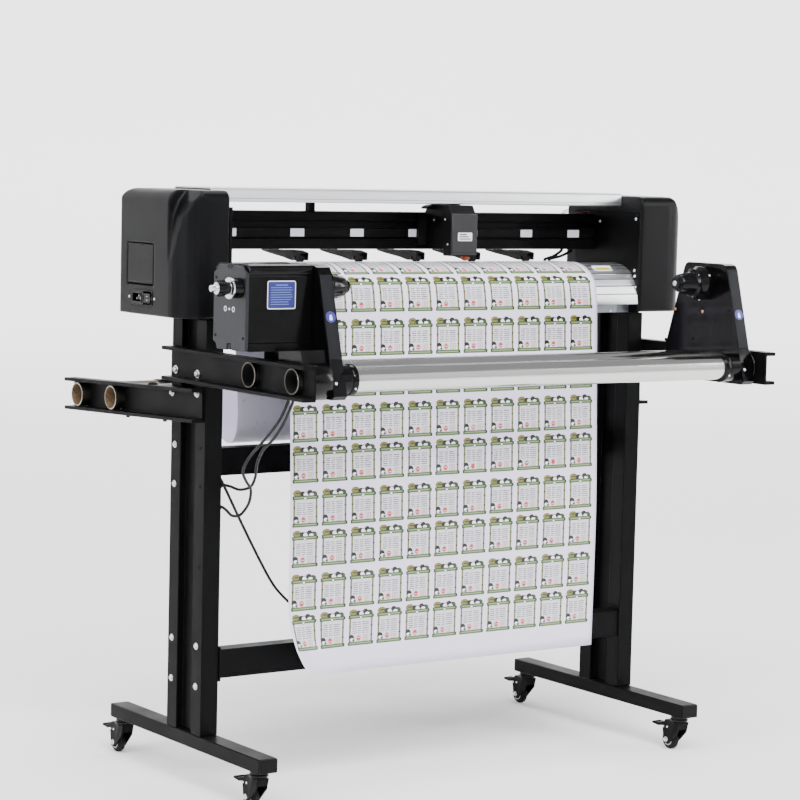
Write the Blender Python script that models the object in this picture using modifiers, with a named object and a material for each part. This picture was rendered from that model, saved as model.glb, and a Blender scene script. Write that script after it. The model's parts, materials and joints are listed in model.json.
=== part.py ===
"""Roll-fed media cutter on a wheeled stand, with a motor-driven take-up at the front and two roll tubes behind.

Units are metres and +Z is up. X runs along the cutting width, -Y faces the operator, and Z = 0 is the floor.
Each named object is one physical piece. A moving piece has its origin on its joint's axis.
"""

import math

import bmesh
import bpy
from mathutils import Matrix, Vector

# Driving dimensions, in metres.
GAP = 0.0003  # clearance between pieces that touch
COVER_OUT = {"left": 0.600, "right": 0.633}  # centre line to the outer face of each end cover
COVER_IN = 0.502  # centre line to the inner face of an end cover
COVER_Y = (-0.098, 0.158)
COVER_Z = (0.909, 1.151)
COLUMN_X = (0.495, 0.533)
COLUMN_Y = (-0.072, 0.060)
COLUMN_TOP = 0.9057
FOOT_HALF = 0.290
FOOT_X = (0.493, 0.533)
FOOT_Z = (0.075, 0.103)
WHEEL_R = 0.021
WHEEL_W = 0.017
STEM_Y = (-0.257, 0.268)
TRAIL = 0.025  # how far a caster's wheel trails behind its stem
ARM_X = (0.5333, 0.560)
ARM_H = 0.065
ARM_WEB = 0.004
ARM_FLANGE = 0.007
FRONT_ARM_Z = 0.8165  # centre of the front arms
FRONT_ARM_Y = (-0.460, 0.055)
REAR_ARM_Y = (-0.066, 0.460)
REAR_ARM_Z = 0.7428  # centre of the rear arms at their front ends
REAR_DROOP = math.radians(2.26)
TUBE_R = 0.024
TUBE_WALL = 0.002
ROLLER_Y = -0.400
FRONT_TUBE_Y = -0.250
REAR_TUBE_Y = (0.264, 0.408)
BEAM_Y = (0.055, 0.113)
BEAM_Z = (1.035, 1.110)
RAIL_END = 0.4957  # half length of the beam, the platen and the feed roller
FEED_Y = 0.005
FEED_Z = 1.000
FEED_R = 0.010
PINCH_R = 0.008
PINCH_X = (-0.2805, -0.1415, -0.002, 0.137, 0.2755)
CARRIAGE_X = 0.0815
CARRIAGE_FRONT = -0.040
SPOOL_Y = -0.307  # axis of the two roll chucks
SPOOL_Z = 0.981
LEFT_PLATE_X = (-0.479, -0.451)
RIGHT_PLATE_X = (0.498, 0.526)
BOX_X = (-0.615, -0.4793)
BOX_Y = (-0.360, -0.247)
BOX_Z = (0.868, 1.024)
SHEET_X = (-0.371, 0.381)
SHEET_T = 0.0008
CORD_R = 0.0028

for old in list(bpy.data.objects):
    bpy.data.objects.remove(old, do_unlink=True)

PARTS = bpy.data.collections.new("media_cutter")
CUTTERS = bpy.data.collections.new("cutters")
bpy.context.scene.collection.children.link(PARTS)
bpy.context.scene.collection.children.link(CUTTERS)
CUTTERS.hide_render = True

MATERIALS = {}


def material(name, colour, roughness, metallic=0.0):
    """One Principled material, made once for each name."""
    if name not in MATERIALS:
        made = bpy.data.materials.new(name)
        made.use_nodes = True
        shader = made.node_tree.nodes["Principled BSDF"]
        shader.inputs["Base Color"].default_value = (*colour, 1.0)
        shader.inputs["Roughness"].default_value = roughness
        shader.inputs["Metallic"].default_value = metallic
        made.diffuse_color = (*colour, 1.0)
        MATERIALS[name] = made
    return MATERIALS[name]


def link(name, bm, paint, origin=(0.0, 0.0, 0.0)):
    """Turn a bmesh in world coordinates into a part whose origin is at origin."""
    bmesh.ops.remove_doubles(bm, verts=bm.verts, dist=1e-6)
    bmesh.ops.recalc_face_normals(bm, faces=bm.faces)
    bmesh.ops.translate(bm, verts=bm.verts, vec=-Vector(origin))
    mesh = bpy.data.meshes.new(name)
    bm.to_mesh(mesh)
    bm.free()
    obj = bpy.data.objects.new(name, mesh)
    obj.location = origin
    obj.data.materials.append(paint)
    PARTS.objects.link(obj)
    return obj


def cutter(name, bm):
    """Turn a bmesh into a hidden helper for a Boolean."""
    bmesh.ops.recalc_face_normals(bm, faces=bm.faces)
    mesh = bpy.data.meshes.new(name)
    bm.to_mesh(mesh)
    bm.free()
    obj = bpy.data.objects.new(name, mesh)
    obj.hide_render = True
    obj.display_type = "WIRE"
    CUTTERS.objects.link(obj)
    return obj


def boolean(obj, other, operation="DIFFERENCE"):
    modifier = obj.modifiers.new(other.name, "BOOLEAN")
    modifier.operation = operation
    modifier.solver = "EXACT"
    modifier.object = other


def bevel(obj, width, segments=1, angle=40.0):
    modifier = obj.modifiers.new("edge", "BEVEL")
    modifier.width = width
    modifier.segments = segments
    modifier.limit_method = "ANGLE"
    modifier.angle_limit = math.radians(angle)


def box_mesh(x, y, z):
    """A box between two limits on each axis."""
    bm = bmesh.new()
    bmesh.ops.create_cube(bm, size=1.0)
    size = (abs(x[1] - x[0]), abs(y[1] - y[0]), abs(z[1] - z[0]))
    bmesh.ops.scale(bm, verts=bm.verts, vec=size)
    bmesh.ops.translate(bm, verts=bm.verts, vec=((x[0] + x[1]) / 2, (y[0] + y[1]) / 2, (z[0] + z[1]) / 2))
    return bm


def profile_mesh(points, axis, span):
    """Extrude a closed outline along an axis. Its points give the other two axes, in X, Y, Z order."""
    bm = bmesh.new()
    corners = []
    for first, second in points:
        places = {
            "X": (span[0], first, second),
            "Y": (first, span[0], second),
            "Z": (first, second, span[0]),
        }
        corners.append(bm.verts.new(places[axis]))
    face = bm.faces.new(corners)
    moved = bmesh.ops.extrude_face_region(bm, geom=[face])
    step = {"X": (1, 0, 0), "Y": (0, 1, 0), "Z": (0, 0, 1)}[axis]
    verts = [item for item in moved["geom"] if isinstance(item, bmesh.types.BMVert)]
    bmesh.ops.translate(bm, verts=verts, vec=Vector(step) * (span[1] - span[0]))
    bmesh.ops.recalc_face_normals(bm, faces=bm.faces)
    return bm


TURN = {
    "X": Matrix.Rotation(math.radians(90), 4, "Y"),
    "Y": Matrix.Rotation(math.radians(-90), 4, "X"),
    "Z": Matrix.Identity(4),
}


def cylinder_mesh(centre, axis, radius, length, sides=24, radius_end=None):
    """A cylinder or cone centred on centre. radius_end is the radius at the far end along the axis."""
    bm = bmesh.new()
    bmesh.ops.create_cone(
        bm,
        cap_ends=True,
        segments=sides,
        radius1=radius,
        radius2=radius if radius_end is None else radius_end,
        depth=length,
        matrix=Matrix.Translation(centre) @ TURN[axis],
    )
    return bm


def lathe_mesh(outline, centre, axis, sides=24):
    """Spin an outline of (radius, distance along the axis) pairs about an axis through centre."""
    bm = bmesh.new()
    ring = [bm.verts.new((radius, 0.0, along)) for radius, along in outline]
    edges = [bm.edges.new(pair) for pair in zip(ring, ring[1:])]
    bmesh.ops.spin(
        bm,
        geom=ring + edges,
        cent=(0, 0, 0),
        axis=(0, 0, 1),
        angle=math.tau,
        steps=sides,
        use_merge=True,
    )
    bmesh.ops.remove_doubles(bm, verts=bm.verts, dist=1e-6)
    bmesh.ops.dissolve_degenerate(bm, edges=bm.edges, dist=1e-7)
    bmesh.ops.transform(bm, verts=bm.verts, matrix=Matrix.Translation(centre) @ TURN[axis])
    bmesh.ops.recalc_face_normals(bm, faces=bm.faces)
    return bm


def tube_mesh(x, y, z, radius, wall, sides=32):
    """A hollow tube along X."""
    inner = radius - wall
    outline = [(inner, x[0]), (radius, x[0]), (radius, x[1]), (inner, x[1]), (inner, x[0])]
    return lathe_mesh(outline, (0, y, z), "X", sides)


def mirrored(side, span):
    """A pair of limits on the left (-1) or right (+1) of the machine."""
    return tuple(sorted((side * span[0], side * span[1])))


BLACK = material("satin_black", (0.012, 0.012, 0.013), 0.42)
COVER = material("cover_black", (0.02, 0.02, 0.022), 0.45)
GLOSS = material("gloss_black", (0.006, 0.006, 0.007), 0.14)
SILVER = material("silver_alloy", (0.80, 0.81, 0.83), 0.35, 1.0)
CHROME = material("polished_steel", (0.62, 0.63, 0.65), 0.12, 1.0)
CORE = material("roll_core", (0.36, 0.24, 0.14), 0.75)
RUBBER = material("tyre_black", (0.015, 0.015, 0.015), 0.8)
PLATE = material("grey_plate", (0.17, 0.18, 0.20), 0.4, 0.6)
ORANGE = material("orange_plastic", (0.75, 0.16, 0.03), 0.35)
PAPER = material("label_paper", (0.80, 0.79, 0.87), 0.5)
LEAD = material("lead_black", (0.012, 0.012, 0.014), 0.5)
GREY = material("carriage_grey", (0.10, 0.10, 0.11), 0.5)

SIDES = (("left", -1), ("right", 1))


# Stand: feet, columns and crossbars.
def build_stand():
    for name, side in SIDES:
        bm = box_mesh(mirrored(side, FOOT_X), (-FOOT_HALF, FOOT_HALF), FOOT_Z)
        foot = link("foot_" + name, bm, BLACK)
        bevel(foot, 0.0015)
        outer, inner = side * COLUMN_X[1], side * COLUMN_X[0]
        deep = 0.014
        front, back = COLUMN_Y
        slot_front, slot_back = -0.034, 0.022
        outline = [
            (outer, front), (outer, slot_front), (outer - side * deep, slot_front),
            (outer - side * deep, slot_back), (outer, slot_back), (outer, back),
            (inner, back), (inner, slot_back), (inner + side * deep, slot_back),
            (inner + side * deep, slot_front), (inner, slot_front), (inner, front),
        ]
        bm = profile_mesh(outline, "Z", (FOOT_Z[1] + GAP, COLUMN_TOP))
        link("column_" + name, bm, BLACK)
    reach = COLUMN_X[0] - GAP
    upper = link("crossbar_upper", box_mesh((-reach, reach), (0.022, 0.060), (0.594, 0.648)), BLACK)
    bevel(upper, 0.0015)
    lower = link("crossbar_lower", box_mesh((-reach, reach), (-0.072, -0.034), (0.214, 0.270)), BLACK)
    bevel(lower, 0.0015)


# Arms: channels that open outwards, with round holes for the tubes in their webs.
def build_arm(name, side, span_y, tube_y, droop, front_z):
    web_in, tip = side * ARM_X[0], side * ARM_X[1]
    web_out = web_in + side * ARM_WEB
    half = ARM_H / 2
    inner = half - ARM_FLANGE
    outline = [
        (web_in, -half), (web_in, half), (tip, half), (tip, inner),
        (web_out, inner), (web_out, -inner), (tip, -inner), (tip, -half),
    ]
    start, end = span_y
    bm = profile_mesh(outline, "Y", (0.0, end - start))
    bmesh.ops.rotate(bm, verts=bm.verts, cent=(0, 0, 0), matrix=Matrix.Rotation(-droop, 3, "X"))
    bmesh.ops.translate(bm, verts=bm.verts, vec=(0, start, front_z))
    arm = link(name, bm, BLACK)
    for index, along in enumerate(tube_y):
        height = front_z - math.tan(droop) * (along - start)
        hole = cylinder_mesh(((web_in + web_out) / 2, along, height), "X", TUBE_R + GAP, 0.03, 32)
        boolean(arm, cutter(f"{name}_hole_{index}", hole))


def rear_height(along):
    return REAR_ARM_Z - math.tan(REAR_DROOP) * (along - REAR_ARM_Y[0])


def build_arms_and_tubes():
    for name, side in SIDES:
        build_arm("front_arm_" + name, side, FRONT_ARM_Y, (ROLLER_Y, FRONT_TUBE_Y), 0.0, FRONT_ARM_Z)
        build_arm("rear_arm_" + name, side, REAR_ARM_Y, REAR_TUBE_Y, REAR_DROOP, REAR_ARM_Z)
    tubes = (
        ("guide_roller", ROLLER_Y, FRONT_ARM_Z, 0.548, CHROME),
        ("front_tube", FRONT_TUBE_Y, FRONT_ARM_Z, 0.548, CHROME),
        ("rear_tube_inner", REAR_TUBE_Y[0], rear_height(REAR_TUBE_Y[0]), 0.558, CORE),
        ("rear_tube_outer", REAR_TUBE_Y[1], rear_height(REAR_TUBE_Y[1]), 0.558, CORE),
    )
    for name, along, height, half, paint in tubes:
        bm = tube_mesh((-half, half), along, height, TUBE_R, TUBE_WALL)
        link(name, bm, paint, (0.0, along, height))


# Casters: a fork that swivels, a wheel and a brake pedal on each foot.
def build_caster(name, stem_x, stem_y):
    wheel_y = stem_y + TRAIL
    top = FOOT_Z[0] - GAP
    stem = (stem_x, stem_y, top)
    outline = [
        (stem_y - 0.016, 0.062), (stem_y - 0.010, 0.040), (wheel_y - 0.008, 0.013), (wheel_y + 0.007, 0.013),
        (wheel_y + 0.010, 0.030), (wheel_y + 0.013, 0.050), (wheel_y + 0.004, 0.063),
    ]
    half = 0.013
    bm = profile_mesh(outline, "X", (stem_x - half, stem_x + half))
    fork = link(name + "_fork", bm, BLACK, stem)
    slot_half = WHEEL_W / 2 + 0.001
    gap = box_mesh((stem_x - slot_half, stem_x + slot_half), (stem_y - 0.05, wheel_y + 0.05), (0.0, 0.0465))
    boolean(fork, cutter(name + "_slot", gap))
    race = lathe_mesh([(0.0, 0.058), (0.0145, 0.058), (0.0165, 0.066), (0.0165, top), (0.0, top)],
                      (stem_x, stem_y, 0), "Z", 20)
    boolean(fork, cutter(name + "_race", race), "UNION")
    r, w = WHEEL_R, WHEEL_W / 2
    tread = [(0.0, -w), (0.013, -w), (0.0145, -w + 0.0015), (r - 0.003, -w + 0.0015), (r, -w + 0.0045)]
    outline = tread + [(radius, -along) for radius, along in reversed(tread)]
    wheel = lathe_mesh(outline, (stem_x, wheel_y, WHEEL_R), "X", 24)
    link(name + "_wheel", wheel, RUBBER, (stem_x, wheel_y, WHEEL_R))
    pivot_y, pivot_z = wheel_y + 0.0185, 0.051
    outline = [
        (pivot_y - 0.0040, pivot_z - 0.003), (pivot_y + 0.010, pivot_z - 0.006),
        (pivot_y + 0.030, pivot_z - 0.004), (pivot_y + 0.031, pivot_z - 0.001),
        (pivot_y + 0.012, pivot_z), (pivot_y - 0.0035, pivot_z + 0.004),
    ]
    bm = profile_mesh(outline, "X", (stem_x - 0.011, stem_x + 0.011))
    link(name + "_pedal", bm, BLACK, (stem_x, pivot_y, pivot_z))


def build_casters():
    for side_name, side in SIDES:
        middle = side * (FOOT_X[0] + FOOT_X[1]) / 2
        for end_name, stem_y in zip(("front", "rear"), STEM_Y):
            build_caster(f"caster_{end_name}_{side_name}", middle, stem_y)


# Head: chassis, end covers, top cover, beam, platen.
def build_chassis():
    side = COVER_IN - GAP
    bm = box_mesh((-side, side), (COVER_Y[0], 0.118), (COLUMN_TOP + GAP, 1.120))
    chassis = link("chassis", bm, BLACK)
    span = RAIL_END + GAP
    inside = box_mesh((-span, span), (-0.2, 0.3), (0.925, 1.3))
    boolean(chassis, cutter("chassis_inside", inside))
    below = box_mesh((-span, span), (-0.2, -0.068), (0.8, 1.3))
    boolean(chassis, cutter("chassis_front", below))
    behind = box_mesh((-span, span), (0.062, 0.3), (0.8, 1.3))
    boolean(chassis, cutter("chassis_back", behind))


def rounded_side(front, back, low, high, front_r, back_r, steps=5):
    """Side outline (Y, Z) of an end cover, with its two top corners rounded."""
    points = [(back - 0.004, low), (back, low + 0.004), (back - 0.002, high - back_r)]
    for index in range(1, steps + 1):
        turn = math.radians(90 * index / steps)
        points.append((back - 0.002 - back_r * (1 - math.cos(turn)), high - back_r + back_r * math.sin(turn)))
    for index in range(steps + 1):
        turn = math.radians(90 * index / steps)
        points.append((front + front_r * (1 - math.sin(turn)), high - front_r + front_r * math.cos(turn)))
    points += [(front, low + 0.004), (front + 0.004, low)]
    return points


def build_hollow(name, side, outer):
    """The hollow between an end cover's bulging front and its side box: (height, edge's inset from outer, edge's Y)."""
    rings = (
        (1.002, -0.0010, -0.0420),
        (1.028, 0.0016, -0.0535),
        (1.065, 0.0052, -0.0640),
        (1.100, 0.0112, -0.0743),
        (1.130, 0.0250, -0.0875),
        (1.151, 0.0450, -0.0965),
        (1.175, 0.0700, -0.1000),
    )
    wall, ahead = -0.0370, -0.1300
    bm = bmesh.new()
    loops = []
    for height, inset, edge in rings:
        rim = outer - inset
        corners = [(rim, ahead), (rim, edge), (outer - 0.92 * inset, wall), (outer + 0.03, wall), (outer + 0.03, ahead)]
        loops.append([bm.verts.new((side * x, y, height)) for x, y in corners])
    for lower, upper in zip(loops, loops[1:]):
        for index in range(5):
            after = (index + 1) % 5
            bm.faces.new((lower[index], lower[after], upper[after], upper[index]))
    bm.faces.new(loops[0])
    bm.faces.new(loops[-1])
    bmesh.ops.recalc_face_normals(bm, faces=bm.faces)
    return cutter(name, bm)


def build_plan(name, side, outer):
    """A prism with an end cover's plan: a broad curve at the front outer corner and a small one at the back."""
    front, back = COVER_Y
    broad, small, steps = 0.058, 0.010, 8
    inner = side * (COVER_IN - 0.010)
    points = [(inner, front - 0.0001), (side * (outer - broad), front - 0.0001)]
    for index in range(1, steps + 1):
        turn = math.radians(90 * index / steps)
        across = side * (outer - broad * (1 - math.sin(turn)))
        points.append((across, front + broad * (1 - math.cos(turn))))
    for index in range(5):
        turn = math.radians(90 * index / 4)
        across = side * (outer - small * (1 - math.cos(turn)))
        points.append((across, back + 0.0001 - small * (1 - math.sin(turn))))
    points.append((inner, back + 0.0001))
    return cutter(name, profile_mesh(points, "Z", (COVER_Z[0] - 0.02, COVER_Z[1] + 0.02)))


def build_shoulder(name, side, outer):
    """A prism with an end cover's front view: its top outer edge is well rounded."""
    low, high = COVER_Z
    radius, steps = 0.024, 6
    points = [(side * (COVER_IN - 0.010), low - 0.01), (side * outer, low - 0.01)]
    for index in range(steps + 1):
        turn = math.radians(90 * index / steps)
        points.append((side * (outer - radius * (1 - math.cos(turn))), high - radius * (1 - math.sin(turn))))
    points.append((side * (COVER_IN - 0.010), high))
    return cutter(name, profile_mesh(points, "Y", (COVER_Y[0] - 0.02, COVER_Y[1] + 0.02)))


def build_covers():
    front, back = COVER_Y
    low, high = COVER_Z
    for name, side in SIDES:
        outline = rounded_side(front, back, low, high, 0.018, 0.030)
        outer = COVER_OUT[name]
        span = mirrored(side, (COVER_IN, outer))
        cover = link("end_cover_" + name, profile_mesh(outline, "X", span), COVER)
        boolean(cover, build_plan("plan_" + name, side, outer), "INTERSECT")
        boolean(cover, build_shoulder("shoulder_" + name, side, outer), "INTERSECT")
        if side < 0:
            door = box_mesh((-0.61, -outer + 0.006), (0.0195, 0.1215), (0.9660, 1.0465))
            boolean(cover, cutter("door_pocket", door))
            inlet = box_mesh((-0.61, -outer + 0.030), (0.0215, 0.1035), (0.9285, 0.9545))
            boolean(cover, cutter("inlet_pocket", inlet))
        boolean(cover, build_hollow("hollow_" + name, side, outer))
    face = -COVER_OUT["left"]
    door = box_mesh((face, face + 0.0045), (0.0205, 0.1205), (0.9685, 1.0455))
    door = link("access_door", door, COVER, (face + 0.002, 0.0705, 0.9705))
    bevel(door, 0.001)
    inlet = link("power_inlet", box_mesh((face - 0.001, -0.572), (0.056, 0.103), (0.929, 0.954)), GLOSS)
    recess = box_mesh((-0.65, -0.585), (0.063, 0.096), (0.934, 0.949))
    boolean(inlet, cutter("inlet_recess", recess))
    pivot = (-0.594, 0.0385, 0.9415)
    rocker = [
        (-0.6035, 0.9505), (-0.6020, 0.9415), (-0.6035, 0.9325), (-0.5990, 0.9310), (-0.5850, 0.9345),
        (-0.5850, 0.9485), (-0.5990, 0.9520),
    ]
    link("rocker_switch", profile_mesh(rocker, "Y", (0.0255, 0.0515)), GLOSS, pivot)


def build_top_cover():
    low, high = 1.1290, 1.1560
    outline = [
        (-0.028, low + 0.002), (-0.028, high - 0.004), (-0.026, high - 0.001), (-0.022, high), (0.112, high),
        (0.118, high - 0.004), (0.118, low), (0.115, low), (0.115, high - 0.006), (0.111, high - 0.003),
        (-0.020, high - 0.003), (-0.024, high - 0.006), (-0.024, low + 0.004), (-0.010, low + 0.004),
        (-0.010, low), (-0.026, low),
    ]
    end = COVER_IN - GAP
    link("top_cover", profile_mesh(outline, "X", (-end, end)), SILVER)


def build_beam():
    front, back = BEAM_Y
    low, high = BEAM_Z
    outline = [
        (front, low), (front, 1.0545), (front + 0.006, 1.0560), (front + 0.006, 1.0580), (front, 1.0595),
        (front, 1.0765), (front + 0.012, 1.0775), (front + 0.012, 1.0915), (front, 1.0925), (front, high),
        (back, high), (back, low),
    ]
    beam = link("beam", profile_mesh(outline, "X", (-RAIL_END, RAIL_END)), BLACK)
    stay = box_mesh((-0.226, -0.212), (0.060, 0.075), (1.100, 1.1525))
    boolean(beam, cutter("beam_stay", stay), "UNION")


def build_platen():
    outer = [
        (0.060, 1.006), (0.0185, 1.008), (0.0185, 0.987), (-0.0085, 0.987), (-0.0085, 1.0088),
        (-0.036, 1.0088), (-0.038, 1.0072), (-0.050, 1.0048), (-0.052, 1.0030), (-0.063, 0.9990),
        (-0.065, 0.9968), (-0.074, 0.9905), (-0.0755, 0.9880), (-0.083, 0.9790), (-0.0845, 0.9765),
        (-0.090, 0.9650), (-0.0915, 0.9620), (-0.096, 0.9480), (-0.0968, 0.9460), (-0.100, 0.9300),
        (-0.0995, 0.9260), (0.060, 0.9260),
    ]
    link("platen", profile_mesh(outer, "X", (-RAIL_END, RAIL_END)), SILVER)


def build_feed():
    end = RAIL_END - 0.002
    outline = [(0.0, -end), (FEED_R, -end), (FEED_R, end), (0.0, end)]
    link("feed_roller", lathe_mesh(outline, (0, FEED_Y, FEED_Z), "X", 24), CHROME, (0, FEED_Y, FEED_Z))
    pinch_z = FEED_Z + FEED_R + 0.002 + PINCH_R
    for number, middle in enumerate(PINCH_X, start=1):
        outline = [
            (-0.010, 1.0155), (-0.011, 1.0305), (0.012, 1.0345), (0.046, 1.0345), (0.052, 1.0320),
            (0.100, 1.0325), (0.132, 1.0320), (0.132, 1.0295), (0.100, 1.0250), (0.050, 1.0195), (0.020, 1.0145),
        ]
        arm = link(
            f"pinch_arm_{number}",
            profile_mesh(outline, "X", (middle - 0.011, middle + 0.011)),
            BLACK,
            (middle, 0.060, 1.0290),
        )
        slot = box_mesh((middle - 0.0075, middle + 0.0075), (-0.02, 0.0155), (1.0, 1.0290))
        boolean(arm, cutter(f"pinch_slot_{number}", slot))
        roller = lathe_mesh(
            [(0.0, -0.0068), (PINCH_R, -0.0068), (PINCH_R, 0.0068), (0.0, 0.0068)],
            (middle, FEED_Y, pinch_z), "X", 18,
        )
        link(f"pinch_roller_{number}", roller, RUBBER, (middle, FEED_Y, pinch_z))


def build_carriage():
    left, right = CARRIAGE_X - 0.030, CARRIAGE_X + 0.030
    front = CARRIAGE_FRONT
    back = BEAM_Y[0] - 0.0005
    outline = [
        (front, 1.0245), (front, 1.1105), (front + 0.010, 1.1270), (0.0440, 1.1270), (back, 1.1100),
        (back, 1.0430), (-0.0135, 1.0430), (-0.0135, 1.0245),
    ]
    origin = (CARRIAGE_X, 0.007, 1.0735)
    body = link("carriage", profile_mesh(outline, "X", (left, right)), BLACK, origin)
    wing = box_mesh((left - 0.020, right + 0.008), (back - 0.008, back), (1.0440, 1.1080))
    boolean(body, cutter("carriage_wing", wing), "UNION")
    spot = (CARRIAGE_X + 0.016, front + 0.0135, 0.0)
    bore = cylinder_mesh((spot[0], spot[1], 1.03), "Z", 0.0075, 0.05, 20)
    boolean(body, cutter("blade_bore", bore))
    shell = box_mesh((left - 0.0015, right + 0.0015), (front - 0.0070, front - GAP), (1.0265, 1.1105))
    shell = link("carriage_cover", shell, GREY, (CARRIAGE_X, front - 0.0035, 1.0685))
    bevel(shell, 0.0015)
    outline = [
        (0.0, 1.0150), (0.0035, 1.0150), (0.0065, 1.0165), (0.0065, 1.0172), (0.0092, 1.0180),
        (0.0092, 1.0225), (0.0072, 1.0228), (0.0072, 1.0480), (0.0, 1.0480),
    ]
    holder = lathe_mesh(outline, spot, "Z", 20)
    link("blade_holder", holder, ORANGE, (spot[0], spot[1], 1.0150))


# Take-up: two side plates on the front tubes, a motor box on the left one, and a chuck on each.
def build_takeup():
    plates = (("left", LEFT_PLATE_X, 1), ("right", RIGHT_PLATE_X, -1))
    outline = [
        (-0.4360, 0.7900), (-0.4180, 0.8500), (-0.3750, 1.0100), (-0.3690, 1.0190), (-0.3590, 1.0220),
        (-0.2560, 1.0220), (-0.2480, 1.0190), (-0.2430, 1.0100), (-0.1920, 0.8500), (-0.1920, 0.8000),
        (-0.2020, 0.7830), (-0.4280, 0.7830),
    ]
    for name, span, inward in plates:
        plate = link("takeup_plate_" + name, profile_mesh(outline, "X", span), GLOSS)
        face = span[1] if inward > 0 else span[0]
        hub_length = 0.030 if inward > 0 else 0.036
        middle = face + inward * (hub_length / 2 - 0.004)
        hub = cylinder_mesh((middle, ROLLER_Y, FRONT_ARM_Z), "X", 0.0280, hub_length + 0.008, 28)
        boolean(plate, cutter(f"hub_{name}", hub), "UNION")
        for tag, along in (("roller", ROLLER_Y), ("tube", FRONT_TUBE_Y)):
            hole = cylinder_mesh(((span[0] + span[1]) / 2, along, FRONT_ARM_Z), "X", TUBE_R + GAP, 0.16, 32)
            boolean(plate, cutter(f"{tag}_hole_{name}", hole))
        steps = [
            (0.0, GAP), (0.0330, GAP), (0.0340, 0.004), (0.0340, 0.020), (0.0300, 0.026), (0.0300, 0.034),
            (0.0240, 0.037), (0.0215, 0.048), (0.0190, 0.066), (0.0170, 0.070), (0.0120, 0.072),
            (0.0120, 0.078), (0.0, 0.078),
        ]
        steps = [(radius, inward * along) for radius, along in steps]
        chuck = lathe_mesh(steps, (face, SPOOL_Y, SPOOL_Z), "X", 28)
        link("chuck_" + name, chuck, GLOSS, (face, SPOOL_Y, SPOOL_Z))
    front, back = BOX_Y
    low, high = BOX_Z
    outline = [
        (front, low), (front, low + 0.014), (front + 0.003, low + 0.016), (front + 0.003, high - 0.020),
        (front, high - 0.017), (front, high - 0.008), (front + 0.003, high - 0.002), (front + 0.010, high),
        (back - 0.010, high), (back - 0.003, high - 0.002), (back, high - 0.008), (back, high - 0.017),
        (back - 0.003, high - 0.020), (back - 0.003, low + 0.016), (back, low + 0.014), (back, low),
    ]
    link("drive_box", profile_mesh(outline, "X", BOX_X), GLOSS)
    middle = (front + back) / 2
    notch = 0.009
    outline = [
        (front, low + 0.004), (front, high - 0.016), (front + 0.012, high - 0.010),
        (front + 0.020, high - 0.003), (middle - notch, high - 0.003),
        (middle - notch * 0.7, high - notch), (middle + notch * 0.7, high - notch),
        (middle + notch, high - 0.003), (back - 0.018, high - 0.003), (back - 0.012, high - 0.012),
        (back, high - 0.017), (back, low + 0.014), (back - 0.010, low + 0.010), (back - 0.014, low),
        (middle + notch, low), (middle + notch * 0.7, low + notch * 1.4),
        (middle - notch * 0.7, low + notch * 1.4), (middle - notch, low), (front + 0.012, low),
    ]
    link("drive_end_plate", profile_mesh(outline, "X", (-0.622, BOX_X[0] - GAP)), PLATE)
    spot = (-0.622 - GAP, -0.339, 0.9815)
    steps = [
        (0.0, 0.0), (0.0185, 0.0), (0.0185, -0.018), (0.0100, -0.018), (0.0100, -0.0200), (0.0195, -0.0200),
        (0.0195, -0.0230), (0.0110, -0.0230), (0.0110, -0.0290), (0.0125, -0.0290), (0.0125, -0.0480),
        (0.0060, -0.0500), (0.0060, -0.0600), (0.0, -0.0600),
    ]
    link("tension_knob", lathe_mesh(steps, spot, "X", 20), GLOSS, spot)


def smooth_path(points, per_span):
    """A smooth path through points, as a Catmull-Rom curve."""
    control = [Vector(p) for p in points]
    control = [control[0] * 2 - control[1]] + control + [control[-1] * 2 - control[-2]]
    path = []
    for a, b, c, d in zip(control, control[1:], control[2:], control[3:]):
        for index in range(per_span):
            t = index / per_span
            path.append(0.5 * ((2 * b) + (c - a) * t + (2 * a - 5 * b + 4 * c - d) * t * t
                               + (3 * b - a - 3 * c + d) * t * t * t))
    path.append(control[-2])
    return path


# The web of label stock, from its cut front edge over the platen to the rear tubes.
SHEET_PATH = (
    (-0.1210, 0.206), (-0.1225, 0.360), (-0.1220, 0.520), (-0.1170, 0.680), (-0.1115, 0.820), (-0.1080, 0.900),
    (-0.1055, 0.940), (-0.098, 0.972), (-0.083, 0.9905), (-0.062, 1.0035), (-0.036, 1.0108), (-0.010, 1.0112),
    (0.020, 1.0112), (0.050, 1.0095), (0.078, 0.9980), (0.096, 0.9700), (0.100, 0.920), (0.094, 0.840),
    (0.084, 0.760), (0.080, 0.705), (0.086, 0.668), (0.104, 0.648), (0.132, 0.650), (0.170, 0.676),
    (0.205, 0.710), (0.233, 0.7390), (0.246, 0.7510), (0.264, 0.7562), (0.300, 0.7575), (0.350, 0.7540),
    (0.400, 0.7507), (0.412, 0.7502), (0.427, 0.7462), (0.438, 0.7380), (0.446, 0.7240),
)


def build_sheet():
    path = smooth_path([(0.0, y, z) for y, z in SHEET_PATH], 2)
    bm = bmesh.new()
    first = [bm.verts.new((SHEET_X[0], p.y, p.z)) for p in path]
    edges = [bm.edges.new(pair) for pair in zip(first, first[1:])]
    moved = bmesh.ops.extrude_edge_only(bm, edges=edges)
    verts = [item for item in moved["geom"] if isinstance(item, bmesh.types.BMVert)]
    bmesh.ops.translate(bm, verts=verts, vec=(SHEET_X[1] - SHEET_X[0], 0, 0))
    sheet = link("media_sheet", bm, PAPER)
    thick = sheet.modifiers.new("thickness", "SOLIDIFY")
    thick.thickness = SHEET_T
    thick.offset = 0.0


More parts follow.
